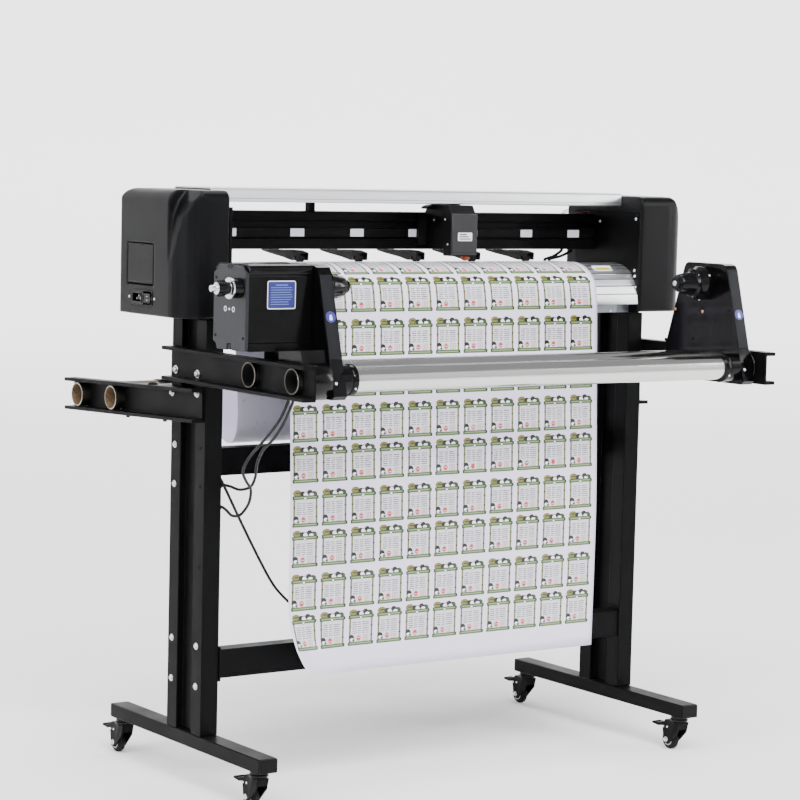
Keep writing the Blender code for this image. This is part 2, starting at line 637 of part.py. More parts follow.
# Leads: control points of each one's centre line, from where it leaves the object.
CORDS = {
    "drive_lead": (
        (-0.505, -0.330, 0.8675), (-0.505, -0.331, 0.830), (-0.505, -0.330, 0.790), (-0.511, -0.306, 0.740),
        (-0.517, -0.258, 0.694), (-0.518, -0.212, 0.660), (-0.517, -0.187, 0.631), (-0.498, -0.167, 0.608),
        (-0.477, -0.150, 0.589), (-0.463, -0.120, 0.558), (-0.464, -0.092, 0.533), (-0.474, -0.078, 0.530),
        (-0.482, -0.069, 0.540), (-0.4880, -0.063, 0.5455), (-0.4936, -0.063, 0.5455),
    ),
    "sensor_lead": (
        (-0.503, -0.345, 0.8675), (-0.503, -0.345, 0.830), (-0.504, -0.342, 0.785), (-0.507, -0.316, 0.738),
        (-0.508, -0.282, 0.702), (-0.507, -0.240, 0.674), (-0.495, -0.200, 0.643), (-0.481, -0.172, 0.615),
        (-0.473, -0.142, 0.593), (-0.477, -0.110, 0.584), (-0.483, -0.084, 0.5875), (-0.4880, -0.067, 0.5890),
        (-0.4936, -0.067, 0.5890),
    ),
    "crossbar_lead": (
        (-0.4936, -0.050, 0.6010), (-0.4870, -0.050, 0.6010), (-0.471, -0.049, 0.575), (-0.440, -0.047, 0.520),
        (-0.396, -0.040, 0.448), (-0.353, -0.030, 0.386), (-0.322, -0.024, 0.354), (-0.292, -0.026, 0.328),
        (-0.268, -0.038, 0.305), (-0.256, -0.050, 0.286), (-0.254, -0.053, 0.2706),
    ),
}


def build_cords():
    for name, points in CORDS.items():
        curve = bpy.data.curves.new(name, "CURVE")
        curve.dimensions = "3D"
        curve.bevel_depth = CORD_R
        curve.bevel_resolution = 2
        curve.use_fill_caps = True
        path = smooth_path(points, 3)
        spline = curve.splines.new("POLY")
        spline.points.add(len(path) - 1)
        for point, place in zip(spline.points, path):
            point.co = (*place, 1.0)
        obj = bpy.data.objects.new(name, curve)
        curve.materials.append(LEAD)
        PARTS.objects.link(obj)


build_stand()
build_arms_and_tubes()
build_casters()
build_chassis()
build_covers()
build_top_cover()
build_beam()
build_platen()
build_feed()
build_carriage()
build_takeup()
build_sheet()
build_cords()
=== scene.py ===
"""Looks of the roll-fed media cutter: camera, leads, label web, fine pieces and every surface finish."""

import json
import math
import random

import bmesh
import bpy
from mathutils import Matrix, Vector


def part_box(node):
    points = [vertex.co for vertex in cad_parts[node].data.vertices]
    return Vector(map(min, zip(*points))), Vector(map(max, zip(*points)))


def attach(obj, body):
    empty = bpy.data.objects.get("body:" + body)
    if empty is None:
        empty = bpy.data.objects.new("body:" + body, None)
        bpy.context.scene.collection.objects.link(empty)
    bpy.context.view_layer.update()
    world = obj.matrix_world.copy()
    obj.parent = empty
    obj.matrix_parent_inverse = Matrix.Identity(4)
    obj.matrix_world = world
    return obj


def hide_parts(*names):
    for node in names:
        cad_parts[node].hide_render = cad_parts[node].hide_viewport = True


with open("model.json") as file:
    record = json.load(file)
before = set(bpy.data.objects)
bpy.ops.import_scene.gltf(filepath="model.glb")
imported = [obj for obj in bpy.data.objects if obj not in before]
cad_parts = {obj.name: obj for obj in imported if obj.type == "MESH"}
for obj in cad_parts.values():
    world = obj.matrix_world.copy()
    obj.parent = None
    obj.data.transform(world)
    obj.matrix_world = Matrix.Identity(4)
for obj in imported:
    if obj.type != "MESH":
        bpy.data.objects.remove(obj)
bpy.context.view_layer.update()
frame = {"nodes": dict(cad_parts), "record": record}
NODES = frame["nodes"]
STAND = "stand"
LEFTWARD = (-1, 0, 0)
SIDES = (("left", -1), ("right", 1))


# Small helpers ------------------------------------------------------------------------
def middle(node, axis):
    low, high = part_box(node)
    return (low[axis] + high[axis]) / 2


def smooth_path(points, per_span):
    """A smooth path through points, as a Catmull-Rom curve."""
    control = [Vector(p) for p in points]
    control = [control[0] * 2 - control[1]] + control + [control[-1] * 2 - control[-2]]
    path = []
    for a, b, c, d in zip(control, control[1:], control[2:], control[3:]):
        for index in range(per_span):
            t = index / per_span
            path.append(0.5 * ((2 * b) + (c - a) * t + (2 * a - 5 * b + 4 * c - d) * t * t
                               + (3 * b - a - 3 * c + d) * t * t * t))
    path.append(control[-2])
    return path


# Materials ----------------------------------------------------------------------------
class Paint:
    """A Principled material with shorthands for the nodes that its surfaces share."""

    def __init__(self, name, colour, roughness, metallic=0.0, **sockets):
        self.material = bpy.data.materials.new(name)
        self.material.use_nodes = True
        self.tree = self.material.node_tree
        self.shader = self.tree.nodes["Principled BSDF"]
        self.colour = (*colour, 1.0)
        self.shader.inputs["Base Color"].default_value = self.colour
        self.shader.inputs["Roughness"].default_value = roughness
        self.shader.inputs["Metallic"].default_value = metallic
        for socket, value in sockets.items():
            self.shader.inputs[socket.replace("_", " ")].default_value = value
        self.material.diffuse_color = self.colour
        self.place = self.node("ShaderNodeTexCoord").outputs["Object"]

    def node(self, kind, settings=None, **inputs):
        made = self.tree.nodes.new(kind)
        for key, value in (settings or {}).items():
            setattr(made, key, value)
        for key, value in inputs.items():
            self.feed(made.inputs[int(key[1:]) if key[1:].isdigit() else key.replace("_", " ")], value)
        return made

    def feed(self, socket, value):
        if isinstance(value, bpy.types.NodeSocket):
            self.tree.links.new(value, socket)
        else:
            socket.default_value = value

    def math(self, operation, first, second=0.0, third=0.0):
        return self.node("ShaderNodeMath", {"operation": operation}, i0=first, i1=second, i2=third).outputs[0]

    def stretched(self, scale, place=None):
        return self.node("ShaderNodeMapping", Vector=place or self.place, Scale=scale).outputs[0]

    def noise(self, scale, detail=2.0, stretch=None, place=None):
        vector = self.stretched(stretch, place) if stretch else (place or self.place)
        made = self.node("ShaderNodeTexNoise", Vector=vector, Scale=scale, Detail=detail)
        return made.outputs["Fac"]

    def spread(self, value, low, high, start=0.35, end=0.65):
        """Map a value's middle range to low and high."""
        made = self.node("ShaderNodeMapRange", Value=value)
        for key, number in (("From Min", start), ("From Max", end), ("To Min", low), ("To Max", high)):
            made.inputs[key].default_value = number
        return made.outputs[0]

    def mix(self, share, first, second):
        made = self.node("ShaderNodeMix", {"data_type": "RGBA"})
        self.feed(made.inputs[0], share)
        self.feed(made.inputs[6], first)
        self.feed(made.inputs[7], second)
        return made.outputs[2]

    def tint(self, share, other):
        """Blend the base colour towards another one."""
        current = self.shader.inputs["Base Color"]
        base = current.links[0].from_socket if current.links else self.colour
        self.feed(current, self.mix(share, base, (*other, 1.0)))

    def bump(self, height, depth, strength=1.0):
        """Add a height, in metres of depth, to the surface."""
        made = self.node("ShaderNodeBump", Height=height, Distance=depth, Strength=strength)
        current = self.shader.inputs["Normal"]
        if current.links:
            self.feed(made.inputs["Normal"], current.links[0].from_socket)
        self.feed(current, made.outputs[0])

    def rough(self, value, low, high, start=0.35, end=0.65):
        self.feed(self.shader.inputs["Roughness"], self.spread(value, low, high, start, end))

    def axis(self, letter, place=None):
        return self.node("ShaderNodeSeparateXYZ", Vector=place or self.place).outputs[letter]

    def facing_up(self):
        """1 on faces that look up, 0 on the rest."""
        normal = self.node("ShaderNodeNewGeometry").outputs["Normal"]
        return self.spread(self.axis("Z", normal), 0.0, 1.0, 0.55, 0.95)


def shade(colour, share):
    return tuple(share * part for part in colour)


def surface(name, colour, roughness, metallic=0.0, rough=None, bump=None, tint=None, **sockets):
    """A finish varied by noise. Each of rough, bump and tint starts with its noise's scale and detail."""
    paint = Paint(name, colour, roughness, metallic, **sockets)
    if rough:
        paint.rough(paint.noise(*rough[:2]), *rough[2:])
    if bump:
        paint.bump(paint.noise(*bump[:2]), bump[2])
    if tint:
        scale, detail, strength, other, *span = tint
        paint.tint(paint.spread(paint.noise(scale, detail), 0.0, strength, *span), other)
    return paint


def grained(name, colour, roughness, grain, depth, dust=0.012, **sockets):
    """Coated or moulded black: an even fine grain, slow gloss changes and a little dust on top."""
    paint = surface(name, colour, roughness, 0.0, (9.0, 4.0, roughness - 0.05, roughness + 0.07, 0.3, 0.7),
                    (grain, 2.0, depth), (420.0, 3.0, 0.1, (0.02, 0.02, 0.022), 0.5, 0.8), **sockets)
    top = paint.math("MULTIPLY", paint.facing_up(), paint.spread(paint.noise(60.0, 5.0), 0.0, dust, 0.4, 0.75))
    paint.tint(top, (0.42, 0.42, 0.44))
    return paint


def powder_coat():
    """Satin black powder coat with its orange-peel skin."""
    paint = grained("powder_coat", (0.0016, 0.0016, 0.0019), 0.46, 900.0, 0.00006, Specular_IOR_Level=0.07)
    paint.bump(paint.noise(170.0, 1.0), 0.0001)
    return paint


def moulded_black():
    """Fine-textured ABS of the end covers."""
    paint = grained("moulded_black", (0.002, 0.0021, 0.0025), 0.34, 1500.0, 0.00004, 0.006,
                    Specular_IOR_Level=0.12)
    paint.bump(paint.noise(14.0, 1.0), 0.0006, 0.5)
    return paint


def gloss_black(name="gloss_black"):
    """Sprayed high-gloss black with faint swirls in its clear coat, and lint."""
    return surface(name, (0.0014, 0.0014, 0.0016), 0.16, 0.0, (26.0, 5.0, 0.1, 0.24, 0.3, 0.7),
                   (55.0, 2.0, 0.00018),
                   (650.0, 1.0, 0.4, (0.05, 0.05, 0.055), 0.74, 0.8),
                   Specular_IOR_Level=0.16, Coat_Weight=0.07, Coat_Roughness=0.05)


def brushed(name, colour, roughness, stretch=(1.5, 220.0, 220.0), lines=6.0, depth=0.00005):
    """Metal with fine lines along X."""
    paint = Paint(name, colour, roughness, 1.0)
    streak = paint.noise(lines, 6.0, stretch)
    paint.rough(streak, roughness - 0.06, roughness + 0.1, 0.3, 0.7)
    paint.bump(streak, depth)
    tone = paint.noise(5.0, 3.0, (0.6, 6.0, 6.0))
    paint.tint(paint.spread(tone, 0.0, 0.22, 0.35, 0.7), shade(colour, 0.72))
    return paint


def polished_tube():
    """Plated tube with drawn lines and a slow wave along it."""
    paint = brushed("polished_tube", (0.7, 0.69, 0.67), 0.13, (1.0, 90.0, 90.0), 5.0, 0.00003)
    paint.bump(paint.noise(3.0, 2.0, (1.6, 1.0, 1.0)), 0.0012, 0.35)
    return paint


def zinc(name="zinc_plate", colour=(0.78, 0.79, 0.8)):
    """Plated steel of bolts, screws and pins."""
    return surface(name, colour, 0.28, 1.0, (300.0, 3.0, 0.18, 0.42), (900.0, 2.0, 0.00004),
                   (140.0, 3.0, 0.35, (0.34, 0.33, 0.32), 0.5, 0.8))


def shaded_card_core():
    """Spiral-wound brown card inside the rear tubes, its brown darkened as painted shade of the tubes' insides."""
    paint = Paint("shaded_card_core", (0.13, 0.078, 0.038), 0.82)
    fibre = paint.noise(260.0, 4.0, (0.3, 1.0, 1.0))
    paint.tint(paint.spread(fibre, 0.0, 0.7), (0.07, 0.042, 0.022))
    seam = paint.math("PINGPONG", paint.math("ADD", paint.axis("X"), paint.axis("Z")), 0.022)
    paint.tint(paint.math("LESS_THAN", seam, 0.0009), (0.03, 0.018, 0.011))
    paint.bump(fibre, 0.0002)
    return paint


def rubber(name="tyre_rubber", colour=(0.0035, 0.0035, 0.0035)):
    return surface(name, colour, 0.78, 0.0, (700.0, 4.0, 0.66, 0.9), (700.0, 4.0, 0.00012),
                   (80.0, 4.0, 0.35, (0.02, 0.0195, 0.0185), 0.5, 0.8), Specular_IOR_Level=0.2)


def plastic(name, colour, roughness=0.4, grain=1100.0, **sockets):
    """Moulded plastic in a plain colour."""
    return surface(name, colour, roughness, 0.0, (30.0, 4.0, roughness - 0.06, roughness + 0.08),
                   (grain, 2.0, 0.00005),
                   (90.0, 3.0, 0.18, shade(colour, 0.6)), **sockets)


def sticker(name, colour):
    """Printed vinyl sticker with a slightly uneven ink."""
    return surface(name, colour, 0.32, 0.0, None, (500.0, 2.0, 0.00003),
                   (240.0, 4.0, 0.25, shade(colour, 0.82)),
                   Coat_Weight=0.3, Coat_Roughness=0.2)


def lead_jacket():
    """Slightly ribbed, semi-gloss cable jacket."""
    return surface("lead_jacket", (0.0035, 0.0037, 0.0042), 0.42, 0.0, (120.0, 4.0, 0.34, 0.52),
                   (600.0, 3.0, 0.00008),
                   (45.0, 4.0, 0.3, (0.016, 0.017, 0.02), 0.45, 0.75), Specular_IOR_Level=0.25)


def grey_plate():
    """Grey anodised plate with fine vertical brushing."""
    paint = Paint("grey_plate", (0.017, 0.018, 0.021), 0.36, 0.2, Specular_IOR_Level=0.25)
    streak = paint.noise(7.0, 6.0, (60.0, 200.0, 2.0))
    paint.rough(streak, 0.28, 0.5, 0.3, 0.7)
    paint.bump(streak, 0.00005)
    paint.tint(paint.spread(paint.noise(700.0, 2.0), 0.0, 0.3, 0.5, 0.8), (0.035, 0.037, 0.042))
    return paint


def knob_finish():
    """Black knob whose washer, shaft and tip are bare metal, by distance along the axis."""
    paint = gloss_black("knob_finish")
    out = paint.math("SUBTRACT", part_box("tension_knob")[1][0], paint.axis("X"))
    washer = paint.math("COMPARE", out, 0.0215, 0.0018)
    metal = paint.math("MAXIMUM", washer, paint.math("GREATER_THAN", out, 0.0485))
    paint.tint(metal, (0.8, 0.8, 0.81))
    paint.feed(paint.shader.inputs["Metallic"], metal)
    return paint


def stock_print():
    """White stock printed with rows of green-framed labels. Its map's U is across and V along the web, in metres."""
    paint = Paint("label_print", (0.74, 0.695, 0.87), 0.34, Coat_Weight=0.25, Coat_Roughness=0.18)
    paper = paint.noise(900.0, 2.0)
    place = paint.node("ShaderNodeUVMap", {"uv_map": "web"}).outputs[0]
    across = paint.axis("X", place)
    along = paint.axis("Y", place)
    pitch, width, pair, step = 0.0675, 0.059, 0.164, 0.0787
    column = paint.math("SUBTRACT", across, -0.3662)
    u = paint.math("FLOORED_MODULO", column, pitch)
    v = paint.math("FLOORED_MODULO", paint.math("SUBTRACT", along, 0.3732), pair)
    upper = paint.math("GREATER_THAN", v, step)
    w = paint.math("SUBTRACT", v, paint.math("MULTIPLY", upper, step))
    printed = paint.math("MULTIPLY", paint.math("COMPARE", column, 5.5 * pitch, 5.5 * pitch),
                         paint.math("COMPARE", along, 0.504, 0.46))
    index = paint.math("ADD", paint.math("FLOOR", paint.math("DIVIDE", column, pitch)),
                       paint.math("MULTIPLY", paint.math("FLOOR", paint.math("DIVIDE", along, step)), 17.0))
    chance = paint.node("ShaderNodeTexWhiteNoise", {"noise_dimensions": "1D"}, W=index).outputs["Value"]

    def away(value, centre):
        return paint.math("ABSOLUTE", paint.math("SUBTRACT", value, centre))

    def box(x, y, half_x, half_y):
        inside = paint.math("MULTIPLY", paint.math("LESS_THAN", away(u, x), half_x),
                            paint.math("LESS_THAN", away(w, y), half_y))
        return inside

    def ellipse(x, y, half_x, half_y):
        dx = paint.math("DIVIDE", paint.math("SUBTRACT", u, x), half_x)
        dy = paint.math("DIVIDE", paint.math("SUBTRACT", w, y), half_y)
        return paint.math("LESS_THAN", paint.math("ADD", paint.math("MULTIPLY", dx, dx),
                                                  paint.math("MULTIPLY", dy, dy)), 1.0)

    def ink(mask, colour, strength=1.0):
        share = paint.math("MULTIPLY", mask, printed)
        if strength != 1.0:
            share = paint.math("MULTIPLY", share, strength)
        paint.tint(share, colour)

    dark, green, leaf = (0.002, 0.003, 0.002), (0.08, 0.155, 0.042), (0.018, 0.045, 0.01)
    olive, yellow, white = (0.06, 0.062, 0.02), (0.17, 0.145, 0.02), (0.86, 0.85, 0.9)
    foot, head = 0.0085, 0.062
    ink(box(width / 2, (foot + head) / 2, 0.0252, 0.0235), (0.62, 0.61, 0.68))
    for x in (0.004, 0.055):
        ink(box(x, (foot + head) / 2, 0.0021, 0.026), olive)
        ink(box(x, (foot + head) / 2, 0.0008, 0.026), (0.17, 0.165, 0.055))
        for y in (0.024, 0.043):
            ink(ellipse(x, y, 0.0026, 0.0018), leaf)
    ink(ellipse(0.011, head + 0.0085, 0.0098, 0.0066), leaf)
    ink(ellipse(0.0108, head + 0.0088, 0.0086, 0.0054), yellow)
    ink(ellipse(0.012, head + 0.0092, 0.006, 0.0014), leaf)
    ink(ellipse(0.049, head + 0.006, 0.0078, 0.006), leaf)
    for x, y, half_x, half_y, colour in (
        (0.0235, 0.007, 0.0062, 0.0052, dark), (0.031, 0.0058, 0.0072, 0.0056, dark),
        (0.031, 0.0058, 0.0058, 0.0043, white), (0.0395, 0.0094, 0.0062, 0.0054, dark),
        (0.0432, 0.005, 0.0066, 0.0046, dark), (0.0438, 0.0048, 0.005, 0.0033, white),
    ):
        ink(ellipse(x, head + y, half_x, half_y), colour)
    for y in (foot, head):
        ink(box(width / 2, y, 0.0275, 0.0036), dark)
        for x in (0.002, 0.057):
            ink(ellipse(x, y, 0.003, 0.0038), dark)
        ink(box(width / 2, y, 0.0268, 0.0022), green)
        ink(box(width / 2, y + 0.0004, 0.024, 0.0007), (0.22, 0.34, 0.14))
    ink(ellipse(0.029, head - 0.0022, 0.0034, 0.0032), dark)
    ink(ellipse(0.029, head - 0.002, 0.0024, 0.0023), white)
    line = paint.math("LESS_THAN", paint.math("PINGPONG", paint.math("SUBTRACT", w, 0.0295), 0.0021), 0.0009)
    ragged = paint.math("GREATER_THAN", paint.noise(1.0, 1.0, (520.0, 700.0, 1.0), place), 0.44)
    words = paint.math("MULTIPLY", line, ragged)
    for x, half_x in ((0.0145, 0.0052), (0.0265, 0.004), (0.0405, 0.0072)):
        ink(paint.math("MULTIPLY", words, box(x, 0.0405, half_x, 0.0118)), (0.02, 0.018, 0.026))
    ink(ellipse(0.008, 0.02, 0.0064, 0.0068), dark)
    ink(ellipse(0.009, 0.0168, 0.0044, 0.003), white)
    ink(ellipse(0.013, 0.015, 0.003, 0.0026), (0.06, 0.07, 0.05))
    ink(ellipse(0.025, 0.019, 0.006, 0.0066), (0.36, 0.5, 0.5))
    ink(ellipse(0.025, 0.019, 0.0043, 0.005), (0.6, 0.012, 0.025))
    ink(box(0.0252, paint.spread(chance, 0.017, 0.021, 0.0, 1.0), 0.0028, 0.0006), (0.85, 0.8, 0.82))
    ink(box(0.0415, 0.019, 0.0062, 0.0062), (0.16, 0.12, 0.17))
    ink(box(0.0415, 0.019, 0.0053, 0.0053), (0.66, 0.58, 0.6))
    ink(ellipse(0.0415, 0.019, 0.0034, 0.0044), (0.5, 0.3, 0.25), 0.7)
    paint.bump(paper, 0.00002)
    paint.rough(paint.noise(40.0, 3.0, None), 0.28, 0.42)
    return paint


def stock_back():
    """Lavender-grey liner on the back of the web, with faint specks."""
    paint = surface("stock_liner", (0.56, 0.55, 0.64), 0.5, 0.0, None, (700.0, 2.0, 0.00003),
                    (70.0, 6.0, 0.55, (0.22, 0.2, 0.26), 0.63, 0.72))
    paint.tint(paint.spread(paint.noise(6.0, 3.0), 0.0, 0.25), (0.46, 0.45, 0.55))
    return paint


PAINT = {
    "frame_black": powder_coat(),
    "cover_black": moulded_black(),
    "gloss_black": gloss_black(),
    "tyre": rubber(),
    "rubber": rubber("pinch_rubber", (0.008, 0.008, 0.009)),
    "chrome": polished_tube(),
    "steel_tube": brushed("drawn_steel", (0.16, 0.145, 0.12), 0.34, (1.0, 90.0, 90.0)),
    "silver_alloy": brushed("anodised_alloy", (0.86, 0.87, 0.89), 0.32),
    "carriage_black": plastic("carriage_black", (0.0026, 0.0026, 0.003), 0.42, Specular_IOR_Level=0.15),
    "carriage_grey": plastic("carriage_grey", (0.024, 0.0235, 0.0255), 0.46, 1600.0, Specular_IOR_Level=0.2),
    "grey_plate": grey_plate(),
    "orange": plastic("orange_plastic", (0.42, 0.055, 0.01), 0.34),
    "paper": stock_print(),
    "lead": lead_jacket(),
}
ZINC = zinc()
BRASS = zinc("brass_screw", (0.62, 0.34, 0.16))
# Brown card, darkened as painted shade, for inside the rear tubes.
SHADED_CARD = shaded_card_core()
RIM = zinc("cut_rim", (0.42, 0.38, 0.31))
WHITE = sticker("white_sticker", (0.76, 0.77, 0.84))
BLUE = sticker("blue_sticker", (0.006, 0.012, 0.13))
PALE_BLUE = sticker("pale_blue_ink", (0.14, 0.19, 0.48))
SKY = sticker("round_sticker", (0.022, 0.026, 0.2))
YELLOW = sticker("yellow_sticker", (0.62, 0.52, 0.012))
BEIGE = plastic("hub_plastic", (0.46, 0.4, 0.33), 0.45)
SATIN = plastic("satin_strip", (0.0065, 0.007, 0.009), 0.44, 900.0, Specular_IOR_Level=0.15)
RED_WIRE = plastic("red_wire", (0.22, 0.012, 0.012), 0.4)
STRIP = brushed("strip_alloy", (0.3, 0.32, 0.35), 0.42)
# Dark alloy for the painted shade in the platen's grooves.
GROOVE_SHADE = brushed("groove_shade_alloy", (0.1, 0.105, 0.115), 0.5)


# Meshes -------------------------------------------------------------------------------
TURN = {
    "X": Matrix.Rotation(math.radians(90), 4, "Y"),
    "Y": Matrix.Rotation(math.radians(-90), 4, "X"),
    "Z": Matrix.Identity(4),
}


def add(name, bm, paint, body=STAND, slot=None, bevel=0.0, segments=2, angle=38.0):
    """Turn a bmesh, or a list of them, into a piece that rides on a body. The slot argument is not used."""
    if isinstance(bm, list):
        bm = joined(bm)
    if isinstance(paint, str):
        slot, paint = slot or paint, PAINT[paint]
    bmesh.ops.remove_doubles(bm, verts=bm.verts, dist=1e-7)
    bmesh.ops.recalc_face_normals(bm, faces=bm.faces)
    mesh = bpy.data.meshes.new(name)
    bm.to_mesh(mesh)
    bm.free()
    piece = bpy.data.objects.new(name, mesh)
    bpy.context.scene.collection.objects.link(piece)
    mesh.materials.append(paint.material)
    mesh.shade_smooth()
    if bevel:
        soften(piece, bevel, segments, angle)
    else:
        mesh.set_sharp_from_angle(angle=math.radians(angle))
    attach(piece, body)
    return piece


def soften(piece, width, segments=2, angle=38.0):
    """Round an object's edges and keep its flat faces flat."""
    edge = piece.modifiers.new("rounded_edges", "BEVEL")
    edge.width = width
    edge.segments = segments
    edge.limit_method = "ANGLE"
    edge.angle_limit = math.radians(angle)
    edge.harden_normals = True


def merge(into, other):
    """Move one bmesh's geometry into another."""
    scratch = bpy.data.meshes.new("scratch")
    other.to_mesh(scratch)
    other.free()
    into.from_mesh(scratch)
    bpy.data.meshes.remove(scratch)
    return into


def joined(shapes):
    whole = bmesh.new()
    for shape in shapes:
        merge(whole, shape)
    return whole


def moved(bm, matrix):
    bmesh.ops.transform(bm, verts=bm.verts, matrix=matrix)
    return bm


def shift(x, y, z):
    return Matrix.Translation((x, y, z))


def spun(angle, axis="X"):
    return Matrix.Rotation(angle, 4, axis)


def box(x, y, z):
    bm = bmesh.new()
    bmesh.ops.create_cube(bm, size=1.0)
    bmesh.ops.scale(bm, verts=bm.verts, vec=(abs(x[1] - x[0]), abs(y[1] - y[0]), abs(z[1] - z[0])))
    bmesh.ops.translate(bm, verts=bm.verts, vec=((x[0] + x[1]) / 2, (y[0] + y[1]) / 2, (z[0] + z[1]) / 2))
    return bm


def prism(points, axis, span):
    """Extrude a closed outline along an axis. Its points give the other two axes, in X, Y, Z order."""
    bm = bmesh.new()
    spots = {
        "X": [(span[0], a, b) for a, b in points],
        "Y": [(a, span[0], b) for a, b in points],
        "Z": [(a, b, span[0]) for a, b in points],
    }[axis]
    face = bm.faces.new([bm.verts.new(spot) for spot in spots])
    moved = bmesh.ops.extrude_face_region(bm, geom=[face])
    step = Vector({"X": (1, 0, 0), "Y": (0, 1, 0), "Z": (0, 0, 1)}[axis]) * (span[1] - span[0])
    bmesh.ops.translate(bm, verts=[v for v in moved["geom"] if isinstance(v, bmesh.types.BMVert)], vec=step)
    return bm


def rounded(x, z, radius, steps=5):
    """A rectangle's outline with round corners."""
    points = []
    for cx, cz, start in ((x[1] - radius, z[1] - radius, 0), (x[0] + radius, z[1] - radius, 90),
                          (x[0] + radius, z[0] + radius, 180), (x[1] - radius, z[0] + radius, 270)):
        for index in range(steps + 1):
            turn = math.radians(start + 90 * index / steps)
            points.append((cx + radius * math.cos(turn), cz + radius * math.sin(turn)))
    return points


def lathe(outline, centre=(0, 0, 0), axis="Z", sides=32, matrix=None):
    """Spin an outline of (radius, distance along the axis) pairs."""
    bm = bmesh.new()
    verts = [bm.verts.new((radius, 0.0, along)) for radius, along in outline]
    edges = [bm.edges.new(pair) for pair in zip(verts, verts[1:])]
    bmesh.ops.spin(bm, geom=verts + edges, cent=(0, 0, 0), axis=(0, 0, 1), angle=math.tau, steps=sides,
                   use_merge=True)
    bmesh.ops.remove_doubles(bm, verts=bm.verts, dist=1e-7)
    bmesh.ops.dissolve_degenerate(bm, edges=bm.edges, dist=1e-8)
    bmesh.ops.recalc_face_normals(bm, faces=bm.faces)
    return moved(bm, matrix or (Matrix.Translation(centre) @ TURN[axis]))


def ring(outline, *place, **more):
    """Spin an outline whose last point joins its first."""
    return lathe([*outline, outline[0]], *place, **more)


def disc(radius, height, sides, matrix):
    return lathe([(0, 0), (radius, 0), (radius, height), (0, height)], sides=sides, matrix=matrix)


def facing(normal, points):
    """Each point paired with the same normal, for fasteners."""
    return [(point, normal) for point in points]


def aimed(point, normal):
    """A matrix that puts a template's +Z along normal at point."""
    return Matrix.Translation(point) @ Vector(normal).to_track_quat("Z", "Y").to_matrix().to_4x4()


def head(kind, radius, height):
    """A fastener's head on a washer, with a cross or a hexagon socket cut into it, facing +Z."""
    if kind == "hex":
        bm = lathe([(0, 0), (radius * 1.35, 0), (radius * 1.35, height * 0.18), (0, height * 0.18)])
        cap = bmesh.new()
        bmesh.ops.create_cone(cap, cap_ends=True, segments=6, radius1=radius, radius2=radius * 0.97,
                              depth=height,
                              matrix=Matrix.Translation((0, 0, height * 0.6)))
        return merge(bm, cap)
    dome = [(0, 0), (radius, 0), (radius, height * 0.35)]
    for index in range(1, 6):
        turn = math.radians(90 * index / 5)
        dome.append((radius * (0.55 + 0.45 * math.cos(turn)), height * (0.35 + 0.65 * math.sin(turn))))
    dome.append((0, height))
    bm = lathe(dome, sides=28)
    if kind == "cross":
        tool = box((-radius * 0.62, radius * 0.62), (-radius * 0.13, radius * 0.13),
                   (height * 0.45, height * 2))
        merge(tool, box((-radius * 0.13, radius * 0.13), (-radius * 0.62, radius * 0.62), (height * 0.45, height * 2)))
    else:
        tool = bmesh.new()
        bmesh.ops.create_cone(tool, cap_ends=True, segments=6, radius1=radius * 0.5, radius2=radius * 0.5,
                              depth=height * 1.4, matrix=Matrix.Translation((0, 0, height)))
    return carved(bm, tool)


def carved(bm, tool):
    """The first bmesh with the second one cut out of it."""
    pair = []
    for name, shape in (("body", bm), ("tool", tool)):
        bmesh.ops.recalc_face_normals(shape, faces=shape.faces)
        mesh = bpy.data.meshes.new(name)
        shape.to_mesh(mesh)
        shape.free()
        obj = bpy.data.objects.new(name, mesh)
        bpy.context.scene.collection.objects.link(obj)
        pair.append(obj)
    cut = pair[0].modifiers.new("cut", "BOOLEAN")
    cut.object = pair[1]
    cut.use_self = True
    bpy.context.view_layer.update()
    done = bpy.data.meshes.new_from_object(pair[0].evaluated_get(bpy.context.evaluated_depsgraph_get()))
    result = bmesh.new()
    result.from_mesh(done)
    for obj in pair:
        bpy.data.objects.remove(obj)
    bpy.data.meshes.remove(done)
    return result


HEADS = {}


def fasteners(name, kind, radius, height, spots, paint=None, body=STAND, washer=False):
    """One piece with a copy of a fastener's head at each (point, normal), each turned differently."""
    key = (kind, radius, height)
    if key not in HEADS:
        made = head(kind, radius, height)
        HEADS[key] = bpy.data.meshes.new("head_template")
        made.to_mesh(HEADS[key])
        made.free()
    draw = random.Random(name)
    bm = bmesh.new()
    for point, normal in spots:
        copy = bmesh.new()
        copy.from_mesh(HEADS[key])
        lift = Matrix.Translation((0, 0, 0.0011 if washer else 0.0))
        spin = Matrix.Rotation(draw.uniform(0, math.tau), 4, "Z")
        merge(bm, moved(copy, aimed(point, normal) @ lift @ spin))
        if washer:
            outline = [(radius * 0.5, 0), (radius * 1.45, 0), (radius * 1.45, 0.001), (radius * 0.5, 0.001)]
            merge(bm, ring(outline, sides=28, matrix=aimed(point, normal)))
    return add(name, bm, paint or ZINC, body, "chrome")


def tube(name, points, radius, paint, body=STAND, per_span=8):
    """A curve of one open spline through points, with a round section."""
    curve = bpy.data.curves.new(name, "CURVE")
    curve.dimensions = "3D"
    curve.bevel_depth = radius
    curve.bevel_resolution = 4
    curve.use_fill_caps = True
    path = smooth_path(points, per_span)
    spline = curve.splines.new("POLY")
    spline.points.add(len(path) - 1)
    for point, place in zip(spline.points, path):
        point.co = (*place, 1.0)
    spline.use_smooth = True
    curve.materials.append(paint.material)
    piece = bpy.data.objects.new(name, curve)
    bpy.context.scene.collection.objects.link(piece)
    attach(piece, body)
    return piece


